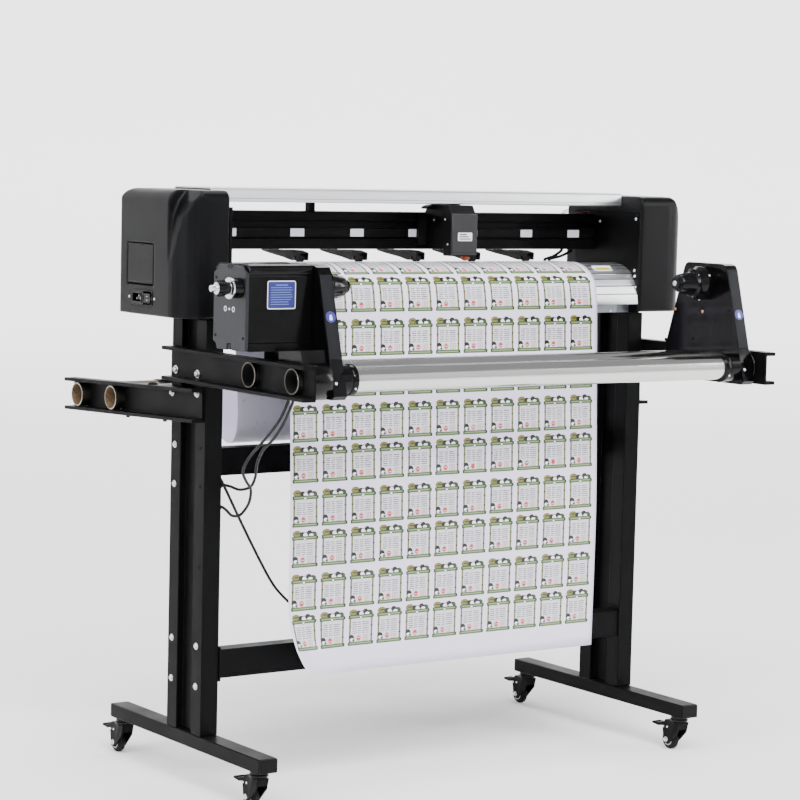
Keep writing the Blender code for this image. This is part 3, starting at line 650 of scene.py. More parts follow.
# Camera -------------------------------------------------------------------------------
def build_camera():
    """A long lens to the left of the machine, at the height of its head."""
    place = Vector((-3.02865, -4.35799, 1.21685))
    yaw, pitch, roll = (math.radians(angle) for angle in (34.4719, 5.2465, 1.3584))
    level = Matrix(((1, 0, 0), (0, 0, -1), (0, 1, 0)))
    turn = Matrix.Rotation(roll, 3, "Z") @ Matrix.Rotation(pitch, 3, "X") @ level @ Matrix.Rotation(yaw, 3, "Z")
    right, down, forward = turn
    data = bpy.data.cameras.new("camera")
    data.sensor_width = 36.0
    data.lens = 117.79
    data.clip_end = 100.0
    camera = bpy.data.objects.new("camera", data)
    axes = Matrix((right, -down, -forward)).transposed()
    camera.matrix_world = Matrix.Translation(place) @ axes.to_4x4()
    bpy.context.scene.collection.objects.link(camera)
    bpy.context.scene.camera = camera


# Leads --------------------------------------------------------------------------------
LEAD_RADIUS = 0.0028
LEADS = {
    "drive_lead": (0.499, (
        (-0.505, -0.33, 0.8675), (-0.505, -0.331, 0.83), (-0.505, -0.33, 0.79), (-0.511, -0.306, 0.74),
        (-0.517, -0.258, 0.694), (-0.518, -0.212, 0.66), (-0.517, -0.187, 0.631), (-0.498, -0.167, 0.608),
        (-0.477, -0.15, 0.589), (-0.463, -0.12, 0.558), (-0.464, -0.092, 0.533), (-0.474, -0.078, 0.53),
        (-0.482, -0.069, 0.54), (-0.488, -0.063, 0.5455), (-0.4936, -0.063, 0.5455),
    )),
    "sensor_lead": (0.454, (
        (-0.503, -0.345, 0.8675), (-0.503, -0.345, 0.83), (-0.504, -0.342, 0.785), (-0.507, -0.316, 0.738),
        (-0.508, -0.282, 0.702), (-0.507, -0.24, 0.674), (-0.495, -0.2, 0.643), (-0.481, -0.172, 0.615),
        (-0.473, -0.142, 0.593), (-0.477, -0.11, 0.584), (-0.483, -0.084, 0.5875), (-0.488, -0.067, 0.589),
        (-0.4936, -0.067, 0.589),
    )),
    "crossbar_lead": (0.424, (
        (-0.4936, -0.05, 0.601), (-0.487, -0.05, 0.601), (-0.471, -0.049, 0.575), (-0.44, -0.047, 0.52),
        (-0.396, -0.04, 0.448), (-0.353, -0.03, 0.386), (-0.322, -0.024, 0.354), (-0.292, -0.026, 0.328),
        (-0.268, -0.038, 0.305), (-0.256, -0.05, 0.286), (-0.254, -0.053, 0.2706),
    )),
}


def trim(name, outline, point, direction):
    """A rubber ring round a lead. Its outline is measured from the jacket."""
    r = LEAD_RADIUS + 0.0002
    outline = [(r + out, along) for out, along in outline]
    return add(name, ring(outline, sides=24, matrix=aimed(point, direction)), "tyre", STAND, "rubber")


GROMMET = ((0, 0), (0.0034, 0), (0.0036, 0.001), (0.0026, 0.0024), (0.0012, 0.003), (0, 0.003))
BOOT = [(0, 0), (0.003, 0), (0.003, 0.003)]
for rib in range(6):
    wide, rise = 0.0024 - 0.0003 * rib, 0.004 + 0.0035 * rib
    BOOT += [(wide - 0.0007, rise), (wide, rise + 0.0006), (wide, rise + 0.0022)]
BOOT += [(0.0003, 0.026), (0, 0.026)]


def build_leads():
    for name, (length, points) in LEADS.items():
        piece = tube(name + "_jacket", points, LEAD_RADIUS, PAINT["lead"], STAND)
        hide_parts(name)
        start, end = Vector(points[0]), Vector(points[-1])
        if name == "crossbar_lead":
            trims = [trim(name + "_grommet", GROMMET, start - Vector((0.001, 0, 0)), (1, 0, 0)),
                     trim(name + "_foot", GROMMET, end - Vector((0, 0, 0.0003)), (0, 0, 1))]
        else:
            trims = [trim(name + "_boot", BOOT, start + Vector((0, 0, 0.0003)), (0, 0, -1)),
                     trim(name + "_grommet", GROMMET, end - Vector((0.001, 0, 0)), (1, 0, 0))]


# Web of label stock -------------------------------------------------------------------
WEB_PATH = (
    (-0.121, 0.213), (-0.1225, 0.36), (-0.122, 0.52), (-0.117, 0.68), (-0.1115, 0.82), (-0.108, 0.9),
    (-0.1055, 0.94), (-0.098, 0.972), (-0.083, 0.9905), (-0.062, 1.0035), (-0.036, 1.0108), (-0.01, 1.0112),
    (0.02, 1.0112), (0.05, 1.0095), (0.078, 0.998), (0.096, 0.97), (0.1, 0.92), (0.094, 0.84),
    (0.084, 0.76), (0.08, 0.705), (0.086, 0.668), (0.104, 0.648), (0.132, 0.65), (0.17, 0.676),
    (0.205, 0.71), (0.233, 0.739), (0.246, 0.751), (0.264, 0.7562), (0.3, 0.7575), (0.35, 0.754),
    (0.4, 0.7507), (0.412, 0.7502), (0.427, 0.7462), (0.438, 0.738), (0.448, 0.7173),
)
WEB_THICKNESS = 0.00035


def curl(place, across, along, edge_x):
    """Roll the free corner forward round a slanted line, without stretching it."""
    leg_x, leg_z, radius = 0.2, 0.16, 0.12
    size = math.hypot(leg_x, leg_z)
    normal = Vector((-leg_z / size, 0, -leg_x / size))
    past = (1 - (across - edge_x) / leg_x - along / leg_z) * leg_x * leg_z / size
    if past <= 0:
        return place
    turn = past / radius
    flat = place - normal * past
    return flat + normal * radius * math.sin(turn) + Vector((0, -radius * (1 - math.cos(turn)), 0))


def build_web():
    low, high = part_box("media_sheet")
    path = smooth_path([(0.0, y, z) for y, z in WEB_PATH], 6)
    columns = 84
    bm = bmesh.new()
    uv = bm.loops.layers.uv.new("web")
    rows, marks = [], {}
    along = 0.0
    for index, point in enumerate(path):
        if index:
            along += (point - path[index - 1]).length
        row = []
        for column in range(columns + 1):
            across = low[0] + (high[0] - low[0]) * column / columns
            slack = math.exp(-((along - 0.3) / 0.24) ** 2)
            wave = 0.0016 * slack * math.sin(9.0 * across + 5.0 * along)
            place = curl(Vector((across, point.y + wave, point.z)), across, along, low[0])
            vert = bm.verts.new(place)
            marks[vert] = (across, along)
            row.append(vert)
        rows.append(row)
    for lower, upper in zip(rows, rows[1:]):
        for a, b, c, d in zip(lower, lower[1:], upper[1:], upper):
            face = bm.faces.new((a, b, c, d))
            for loop in face.loops:
                loop[uv].uv = marks[loop.vert]
    mesh = bpy.data.meshes.new("label_web")
    bm.to_mesh(mesh)
    bm.free()
    mesh.shade_smooth()
    for paint in (PAINT["paper"], stock_back()):
        mesh.materials.append(paint.material)
    web = bpy.data.objects.new("label_web", mesh)
    bpy.context.scene.collection.objects.link(web)
    thick = web.modifiers.new("thickness", "SOLIDIFY")
    thick.thickness = WEB_THICKNESS
    thick.offset = 0.0
    thick.material_offset = 1
    thick.material_offset_rim = 1
    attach(web, STAND)
    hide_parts("media_sheet")


# Finishes of the CAD nodes ------------------------------------------------------------
EDGES = {
    "column_left": 0.0018, "column_right": 0.0018, "drive_box": 0.002, "carriage": 0.001, "top_cover": 0.0006,
    "takeup_plate_left": 0.003, "takeup_plate_right": 0.003, "platen": 0.0004, "access_door": 0.0006,
    "chuck_left": 0.0012, "chuck_right": 0.0012, "front_arm_left": 0.0012, "front_arm_right": 0.0012,
    "rear_arm_left": 0.0012, "rear_arm_right": 0.0012, "tension_knob": 0.0007, "drive_end_plate": 0.0007,
}


def finish_nodes():
    """Give each CAD node its finish, and soften its edges as a real one's are."""
    for part in frame["record"]["subparts"]:
        node = NODES[part["node"]]
        paint = PAINT[part["material_slot"]]
        if part["node"] == "tension_knob":
            paint = knob_finish()
        node.data.materials.clear()
        node.data.materials.append(paint.material)
        if "custom_normal" in node.data.attributes:
            node.data.attributes.remove(node.data.attributes["custom_normal"])
        for face in node.data.polygons:
            face.use_smooth = True
        weld = node.modifiers.new("weld", "WELD")
        weld.merge_threshold = 0.00001
        soften(node, EDGES.get(part["node"], 0.0005))


def build_end_covers():
    """The moulded end covers: the CAD shape with every edge and hollow blended as in a moulding."""
    for name, side in SIDES:
        node = NODES["end_cover_" + name]
        mesh = node.data.copy()
        piece = bpy.data.objects.new(f"end_cover_{name}_shell", mesh)
        bpy.context.scene.collection.objects.link(piece)
        weld = piece.modifiers.new("weld", "WELD")
        weld.merge_threshold = 0.00001
        remesh = piece.modifiers.new("remesh", "REMESH")
        remesh.mode = "VOXEL"
        remesh.voxel_size = 0.0019
        remesh.use_smooth_shade = True
        relax = piece.modifiers.new("blend", "SMOOTH")
        relax.factor = 0.5
        relax.iterations = 7
        mesh.materials.clear()
        mesh.materials.append(PAINT["cover_black"].material)
        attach(piece, STAND)
        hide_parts("end_cover_" + name)


# Stand --------------------------------------------------------------------------------
def build_stand():
    for name, side in SIDES:
        low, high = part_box("column_" + name)
        face = low[0] if side < 0 else high[0]
        front, back = low[1] + 0.0205, high[1] - 0.017
        out = (side, 0, 0)
        places = ((back, 0.6575), (back, 0.581), (front, 0.277), (front, 0.1985), (back, 0.279), (back, 0.199))
        fasteners(f"column_bolts_{name}", "cross", 0.0046, 0.0032, facing(out, [(face, *p) for p in places]),
                  washer=True)
        eyelet = [(0.0014, 0.00005), (0.0042, 0.00005), (0.0042, 0.0005), (0.0034, 0.0007), (0.002, -0.0006)]
        add(f"column_eyelets_{name}", [ring(eyelet, sides=24, matrix=aimed((face, front - 0.004, z), out))
                                       for z in (0.66, 0.5855, 0.43)], "frame_black")
        low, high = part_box("foot_" + name)
        outline = rounded((low[0] + 0.0008, high[0] - 0.0008), (low[2] + 0.0008, high[2] - 0.0008), 0.002)
        for end, y, way in (("front", low[1], -1), ("rear", high[1], 1)):
            add(f"foot_cap_{end}_{name}", prism(outline, "Y", sorted((y, y + way * 0.002))), "cover_black",
                bevel=0.0006)
    for level in ("upper", "lower"):
        low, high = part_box("crossbar_" + level)
        outline = rounded((low[1] - 0.0035, high[1] + 0.0035), (low[2] - 0.006, high[2] + 0.006), 0.003)
        for name, side in SIDES:
            end = low[0] if side < 0 else high[0]
            add(f"crossbar_{level}_flange_{name}", prism(outline, "X", sorted((end, end - side * 0.003))),
                "frame_black", bevel=0.0005)


def arm_height(y):
    """Mid height of the sloping rear arms."""
    return 0.7428 - 0.03946 * (y + 0.066)


def build_arms():
    for name, side in SIDES:
        out, web, edge = (side, 0, 0), side * 0.5373, side * 0.547
        fasteners(f"front_arm_bolts_{name}", "socket", 0.0055, 0.0048,
                  facing(out, [(web, -0.047, 0.8015), (web, 0.036, 0.804)]), washer=True)
        fasteners(f"rear_arm_bolts_{name}", "socket", 0.0048, 0.0044,
                  facing(out, [(web, -0.047, 0.7635), (web, 0.049, 0.758)]), washer=True)
        fasteners(f"rear_arm_nuts_{name}", "hex", 0.0042, 0.0042,
                  facing((0, 0, -1), [(edge, y, arm_height(y) - 0.0325) for y in (0.06, 0.209)]), "gloss_black")
        dome = [(0, 0)] + [(0.0105 * math.cos(a), 0.005 * math.sin(a)) for a in map(math.radians,
                                                                                    range(0, 91, 15))]
        add(f"rear_arm_button_{name}", lathe(dome, (edge, 0.11, arm_height(0.11) + 0.0325), sides=28), "rubber")
    for node in ("guide_roller", "front_tube", "rear_tube_inner", "rear_tube_outer"):
        low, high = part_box(node)
        y, z = middle(node, 1), middle(node, 2)
        radius = (high[2] - low[2]) / 2
        inner, liner, lip = radius - 0.002, radius - 0.002 - 0.0001, radius + 0.0001
        rear = node.startswith("rear")
        bores, rims = [], []
        for end, way in ((low[0], -1), (high[0], 1)):
            bore = [(liner, -way * 0.0006), (liner, -way * 0.14), (inner - 0.0012, -way * 0.14),
                    (inner - 0.0012, -way * 0.0006)]
            rim = [(inner, 0), (radius - 0.001, way * 0.0003), (lip, -way * 0.0003), (lip, -way * 0.0012),
                   (inner, -way * 0.0012)]
            bores.append(ring(bore, (end, y, z), "X", 40))
            rims.append(ring(rim, (end, y, z), "X", 40))
        # The bore linings are painted shade: plain black inside the front tube and guide roller, darkened card inside
        # the rear tubes.
        add(node + "_bore", bores, SHADED_CARD if rear else "rubber", node, "steel_tube" if rear else "rubber")
        add(node + "_rims", rims, RIM if rear else "steel_tube", node, "chrome")


def build_casters():
    """Axle bolts, hub discs, rivets, swivel races, ribbed pedal treads and springs."""
    for base in [f"caster_{end}_{side}" for end in ("front", "rear") for side in ("left", "right")]:
        wheel, fork, pedal = base + "_wheel", base + "_fork", base + "_pedal"
        low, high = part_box(wheel)
        x, y, z = ((a + b) / 2 for a, b in zip(low, high))
        half = (high[0] - low[0]) / 2
        rim = ((0.006, 0.0), (0.0125, 0.0), (0.0132, 0.001), (0.012, 0.0016), (0.01, 0.0009), (0.0075, 0.0009),
                (0.006, 0.0015))
        bolt = ((0, 0), (0.0056, 0), (0.0052, 0.0016), (0.004, 0.0022), (0.0036, 0.0044), (0.0026, 0.005),
                (0, 0.005))
        hubs = [ring([(r, way * a) for r, a in rim], (x + way * (half - 0.0012), y, z), "X") for way in (-1, 1)]
        axle = [lathe([(r, way * a) for r, a in bolt], (x + way * 0.0128, y, z), "X", 20) for way in (-1, 1)]
        axle.append(lathe([(0, -0.0128), (0.003, -0.0128), (0.003, 0.0128), (0, 0.0128)], (x, y, z), "X", 16))
        add(base + "_hub", hubs, BEIGE, wheel, "grey_plate")
        add(base + "_axle", axle, ZINC, fork, "chrome")
        rivets = [((x + way * 0.013, y + dy, dz), (way, 0, 0))
                  for way in (-1, 1) for dy, dz in ((0.0095, 0.047), (-0.003, 0.048))]
        fasteners(base + "_rivets", "socket", 0.0024, 0.0012, rivets, body=fork)
        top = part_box(fork)[1][2]
        race = [(r, top - drop) for r, drop in ((0, 0.0105), (0.0182, 0.0105), (0.019, 0.009), (0.019, 0.007),
                                                (0.0172, 0.005), (0.0172, 0.0002), (0, 0.0002))]
        add(base + "_race", lathe(race, (x, y - 0.025, 0)), "gloss_black", fork)
        low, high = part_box(pedal)
        treads = [high[1] - 0.003 - 0.0032 * index for index in range(4)]
        add(base + "_tread", [box((low[0] + 0.001, high[0] - 0.001), (at - 0.0008, at + 0.0008), (0.0498, 0.0512))
                              for at in treads], "tyre", pedal, bevel=0.0003)
        spring = [(x + 0.0032 * math.cos(t * 0.9), y + 0.005 + 0.0006 * t, 0.05 + 0.0032 * math.sin(t * 0.9))
                  for t in range(17)]
        tube(base + "_spring", spring, 0.0006, ZINC, fork, 3)


# Head ---------------------------------------------------------------------------------
def build_left_end():
    low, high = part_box("power_inlet")
    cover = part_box("end_cover_left")[0]
    face, side = low[0], cover[0]
    bezel = prism(rounded((0.0205, high[1] + 0.003), (low[2] - 0.0022, high[2] + 0.0022), 0.0025), "X",
                  (side - 0.0009, side + 0.003))
    hole = box((side - 0.01, side + 0.01), (0.0245, high[1] + 0.0004), (low[2] - 0.0004, high[2] + 0.0004))
    add("inlet_bezel", carved(bezel, hole), "gloss_black", bevel=0.0004)
    y, z = (0.063 + 0.096) / 2, (low[2] + high[2]) / 2
    pins = [box((face + 0.003, face + 0.0155), (y + dy - 0.001, y + dy + 0.001),
                (z + dz - 0.002, z + dz + 0.002))
            for dy, dz in ((-0.007, -0.0022), (0.007, -0.0022), (0.0, 0.003))]
    add("inlet_pins", pins, ZINC, slot="chrome", bevel=0.0003)
    lip = prism(rounded((0.0605, 0.0985), (low[2] + 0.0022, high[2] - 0.0022), 0.003), "X",
                (face - 0.0012, face + 0.0005))
    core = box((face - 0.01, face + 0.01), (0.063, 0.096), (low[2] + 0.0048, high[2] - 0.0048))
    add("inlet_lip", carved(lip, core), "gloss_black", bevel=0.0004)
    fasteners("inlet_screws", "cross", 0.0026, 0.0018,
              facing(LEFTWARD, [(side + 0.0002, at, z) for at in (0.1125, 0.0135)]))
    add("rocker_marks", [box((-0.6029, -0.6019), (0.0365, 0.0405), (0.9415 + dz - 0.0004, 0.9415 + dz + 0.0004))
                         for dz in (-0.0036, 0.0036)], WHITE, "rocker_switch", "paper")
    low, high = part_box("access_door")
    # A flat black half disc at the top of the access door is the notch's painted shade.
    notch_shade = [(0.065 + 0.0052 * math.cos(a), high[2] - 0.0002 - 0.0042 * math.sin(a))
             for a in map(math.radians, range(0, 181, 15))]
    add("door_notch_shade", prism(notch_shade, "X", (low[0] - 0.0003, low[0] + 0.0002)), "tyre", "access_door")
    # A thin gloss-black bar near the foot of the access door is a painted shadow line.
    shadow_line = box((low[0] - 0.0007, low[0] + 0.0003), (low[1] + 0.008, high[1] - 0.008),
               (low[2] + 0.003, low[2] + 0.0044))
    add("door_shadow_line", shadow_line, "gloss_black", "access_door", bevel=0.0004)
    for name, way in SIDES:
        spots = [(way * x, y, cover[2] + 0.0002) for x in (0.585, 0.545) for y in (-0.06, 0.13)]
        fasteners(f"cover_screws_{name}", "cross", 0.003, 0.0018, facing((0, 0, -1), spots), "gloss_black")


def build_head():
    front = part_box("beam")[0][1]
    spans = ((-0.411, -0.397), (-0.272, -0.24), (-0.13, -0.098), (0.012, 0.044), (0.154, 0.186), (0.299, 0.329),
             (0.424, 0.455))
    add("beam_marks", [prism(rounded(span, (1.0603, 1.0757), 0.001), "Y", (front - 0.0003, front)) for span in spans],
        WHITE, slot="paper")
    places = ((0.0345, 1.0958), (-0.086, 1.104), (-0.086, 0.996), (-0.088, 0.984), (-0.09, 0.961))
    fasteners("side_wall_screws", "cross", 0.0032, 0.0022,
              [((side * 0.4957, y, z), (-side, 0, 0)) for name, side in SIDES for y, z in places])
    strip = prism(rounded((-0.4985, 0.4985), (0.907, 0.925), 0.0012), "Y", (-0.0695, -0.0684))
    add("front_valance", strip, STRIP, slot="grey_plate", bevel=0.0004)
    fasteners("valance_screws", "cross", 0.0026, 0.0016,
              facing((0, -1, 0), [(x, -0.0695, 0.91) for x in (-0.45, -0.15, 0.15, 0.448)]))
    # Thin dark alloy bars laid along the platen's grooves are painted shade.
    groove_shadows = []
    for y, z, slope in ((-0.037, 1.008, -37), (-0.051, 1.0039, -42), (-0.064, 0.9979, -48),
                        (-0.07475, 0.9893, -59),
                        (-0.08375, 0.9778, -59), (-0.09075, 0.9635, -63), (-0.0964, 0.947, -69)):
        bar = box((-0.4953, 0.4953), (-0.0011, 0.0011), (-0.0003, 0.0005))
        groove_shadows.append(moved(bar, shift(0, y, z) @ spun(math.radians(-slope))))
    add("platen_groove_shadows", groove_shadows, GROOVE_SHADE, slot="silver_alloy", bevel=0.0002)
    low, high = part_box("top_cover")
    outline = rounded((low[1] + 0.0006, high[1] - 0.0006), (high[2] - 0.025, high[2] - 0.0006), 0.004)
    for name, side in SIDES:
        end = side * (high[0] - 0.0002)
        add(f"top_cover_cap_{name}", prism(outline, "X", sorted((end, end - side * 0.008))), "carriage_grey",
            bevel=0.0008)
    bead = box((low[0] + 0.001, high[0] - 0.001), (low[1] - 0.0004, low[1] + 0.0003), (1.1352, 1.1362))
    add("top_cover_bead", bead, STRIP, slot="silver_alloy")
    tilt = shift(0, -0.0763, 0.9873) @ spun(-(math.pi / 2 - math.atan2(0.999 - 0.988, 0.0125)))
    plate = prism(rounded((0.402, 0.452), (0.0, 0.0265), 0.0015), "Y", (0.0, 0.0003))
    add("platen_label", moved(plate, tilt), WHITE, slot="paper")
    bars = [moved(prism(rounded((0.412, 0.446), (z, z + 0.0045), 0.0008), "Y", (-0.00025, 0.0)), tilt)
            for z in (0.006, 0.0165)]
    add("platen_label_bars", bars, YELLOW, slot="orange")
    for number, (x, dx) in enumerate(((0.422, -0.052), (0.448, -0.066)), 1):
        points = [(x, 0.07, 1.0345), (x - 0.004, 0.0695, 1.03), (x + dx * 0.45, 0.066, 1.0205),
                  (x + dx * 0.8, 0.063, 1.016), (x + dx, 0.061, 1.0135), (x + dx, 0.061, 1.0098)]
        tube(f"beam_sleeve_{number}", points, 0.003, PAINT["lead"], STAND)
    for number, z in enumerate((1.118, 1.114), 1):
        points = [(0.494, 0.07, z), (0.48, 0.064, z + 0.002), (0.462, 0.067, z - 0.001),
                  (0.447, 0.078, z + 0.001),
                  (0.44, 0.095, z - 0.003)]
        tube(f"limit_wire_{number}", points, 0.0009, RED_WIRE if number == 2 else PAINT["lead"], STAND)


def build_pinch_rollers():
    for number in range(1, 6):
        arm, roller = f"pinch_arm_{number}", f"pinch_roller_{number}"
        x, y, z = middle(arm, 0), middle(roller, 1), middle(roller, 2)
        hub = ((0.0022, 0), (0.0052, 0), (0.0052, 0.0008), (0.0034, 0.0014), (0.0022, 0.0014))
        add(f"pinch_hub_{number}", [ring([(r, way * a) for r, a in hub], (x + way * 0.0066, y, z), "X", 20)
                                    for way in (-1, 1)], ZINC, roller, "chrome")
        axle = [(0, -0.0128), (0.0022, -0.0128), (0.003, -0.0122), (0.003, -0.011), (0.0017, -0.0108),
                (0.0017, 0.0108),
                (0.0042, 0.0112), (0.0042, 0.015), (0.0034, 0.0158), (0, 0.0158)]
        add(f"pinch_axle_{number}", lathe(axle, (x, y, z), "X", 20), "gloss_black", arm)
        block = prism(rounded((x - 0.0125, x + 0.0125), (1.0312, 1.0342), 0.0008), "Y", (0.012, 0.045))
        add(f"pinch_block_{number}", block, "carriage_grey", arm, bevel=0.0005)
        coil = [(x + 0.003 * math.cos(t * 0.8), 0.05 + 0.0008 * t,
                 1.027 + 0.003 * math.sin(t * 0.8)) for t in range(40)]
        tube(f"pinch_spring_{number}", coil, 0.0005, ZINC, arm, 2)
        ribs = [box((x - 0.0114, x + 0.0114), (at, at + 0.003), (1.0318, 1.033))
                for at in (0.07 + 0.015 * index for index in range(3))]
        add(f"pinch_ribs_{number}", ribs, "carriage_black", arm, bevel=0.0004)


def build_carriage():
    low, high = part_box("carriage_cover")
    left, right = (corner[0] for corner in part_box("carriage"))
    x, front = middle("carriage_cover", 0), low[1]
    badge = prism(rounded((x - 0.0175, x + 0.0175), (1.0555, 1.0725), 0.0018), "Y",
                  (front - 0.0003, front + 0.0002))
    add("carriage_badge", badge, WHITE, "carriage", "paper")
    bars = [prism(rounded((x - 0.014, x + 0.014 - 0.005 * index), (z, z + 0.0022), 0.0006), "Y",
                  (front - 0.0005, front - 0.0002))
            for index, z in enumerate(1.0585 + 0.0045 * index for index in range(3))]
    add("carriage_badge_bars", bars, "carriage_grey", "carriage")
    line = box((low[0] + 0.0015, high[0] - 0.0015), (front - 0.00015, front + 0.0004), (1.0322, 1.0328))
    add("carriage_cover_line", line, "tyre", "carriage")
    screws = [(left + 0.02, y, z) for y, z in ((-0.0288, 1.048), (-0.018, 1.098), (0.0216, 1.096))]
    fasteners("carriage_screws_left", "cross", 0.0022, 0.0014, facing(LEFTWARD, screws), body="carriage")
    screws = [(right - 0.008, -0.02, z) for z in (1.033, 1.098)]
    fasteners("carriage_screws_right", "cross", 0.0024, 0.0016, facing((1, 0, 0), screws), body="carriage")
    lever = ((-0.03, 1.031), (-0.012, 1.035), (0.01, 1.0405), (0.01, 1.0445), (-0.014, 1.04), (-0.03, 1.037))
    add("carriage_lever", prism(lever, "X", (right - 0.0078, right - 0.0048)), "carriage_black", "carriage",
        bevel=0.0006)
    bracket = [(left + 0.002, 1.118), (left + 0.021, 1.118), (left + 0.021, 1.124), (left + 0.012, 1.1262),
               (left + 0.002, 1.1225)]
    add("carriage_bracket", prism(bracket, "Y", (0.02, 0.042)), "carriage_black", "carriage", bevel=0.0006)
    links = [prism(rounded((at, at + 0.01), (1.1268, 1.1284), 0.0005), "Y", (0.01, 0.036))
             for at in (left + 0.0215 + 0.0115 * index for index in range(5))]
    add("carriage_chain_links", links, "carriage_black", "carriage", bevel=0.0003)
    x, y = middle("blade_holder", 0), middle("blade_holder", 1)
    ribs = [moved(box((0.009, 0.0096), (-0.0005, 0.0005), (1.0185, 1.0222)),
                  shift(x, y, 0) @ spun(math.tau * index / 22, "Z"))
            for index in range(22)]
    add("blade_holder_knurl", ribs, "orange", "blade_holder")
    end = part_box("blade_holder")[0][2]
    tip = [(r, end + rise) for r, rise in ((0, -0.0006), (0.0006, -0.0006), (0.001, 0.001), (0.003, 0.0012),
                                           (0.003, 0.002), (0, 0.002))]
    add("blade_tip", lathe(tip, (x, y, 0), "Z", 20), ZINC, "blade_holder", "chrome")


# Take-up ------------------------------------------------------------------------------
def build_takeup():
    bottom, top = Vector((0, -0.418, 0.85)), Vector((0, -0.375, 1.01))
    run = (top - bottom).normalized()
    out = Vector((0, -run.z, run.y))
    start, stop = bottom + run * 0.006, top - run * 0.004
    corners = [start + out * 0.0001, stop + out * 0.0001, stop + out * 0.0008, start + out * 0.0008]
    for name, span, height in (("left", (-0.4775, -0.4525), 0.931), ("right", (0.4995, 0.5245), 0.9215)):
        add(f"plate_strip_{name}", prism([(p.y, p.z) for p in corners], "X", span), SATIN, slot="cover_black",
            bevel=0.0003)
        spot = bottom + run * ((height - bottom.z) / run.z) + out * 0.0008
        spot.x = (span[0] + span[1]) / 2
        add(f"plate_sticker_{name}", disc(0.0105, 0.0002, 36, aimed(spot, out)), SKY, slot="paper")
        marks = [disc(radius, 0.0001, 24, aimed(spot + run * rise + out * 0.0002, out))
                 for rise, radius in ((0.0015, 0.0026), (-0.003, 0.0036))]
        add(f"plate_sticker_mark_{name}", marks, WHITE, slot="paper")
        fasteners(f"plate_screws_{name}", "socket", 0.003, 0.0022,
                  [((span[0] + 0.006, -0.429, 0.813), (0, -0.957, 0.29))])
        chuck = "chuck_" + name
        low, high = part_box(chuck)
        way, base, tip = (1, low[0], high[0]) if name == "left" else (-1, high[0], low[0])
        inward = (way, 0, 0)
        y, z = middle(chuck, 1), middle(chuck, 2)
        fasteners(f"{chuck}_screw", "cross", 0.0052, 0.003, [((tip, y, z), inward)], body=chuck)
        sets, keys = [], []
        for index in range(6):
            turn = math.tau * (index + 0.5) / 6
            ray = Vector((0, math.cos(turn), math.sin(turn)))
            sets.append(((base + way * 0.012, y + 0.034 * ray.y, z + 0.034 * ray.z), tuple(ray)))
            key = box((0.0, 0.017), (0.018, 0.0222), (-0.0016, 0.0016))
            keys.append(moved(key, shift(base + way * 0.04 - (0.0 if way > 0 else 0.017), y, z) @ spun(turn)))
        fasteners(f"{chuck}_set_screws", "socket", 0.0022, 0.001, sets[::2], body=chuck)
        add(f"{chuck}_keys", keys, "gloss_black", chuck, bevel=0.0006)
        bolts = [(base + way * 0.0335, y + 0.027 * math.cos(a), z + 0.027 * math.sin(a))
                 for a in map(math.radians, (20, 140, 260))]
        fasteners(f"{chuck}_bolts", "socket", 0.002, 0.0012, facing(inward, bolts), body=chuck)
    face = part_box("takeup_plate_right")[0][0]
    fasteners("plate_brass_screws", "cross", 0.003, 0.0014,
              facing(LEFTWARD, [(face, y, 0.926) for y in (-0.262, -0.3456)]), BRASS)
    places = ((-0.235, 0.862), (-0.385, 0.905), (-0.3, 0.8))
    fasteners("plate_bolts", "socket", 0.0036, 0.002, facing(LEFTWARD, [(face, *place) for place in places]),
              "gloss_black")


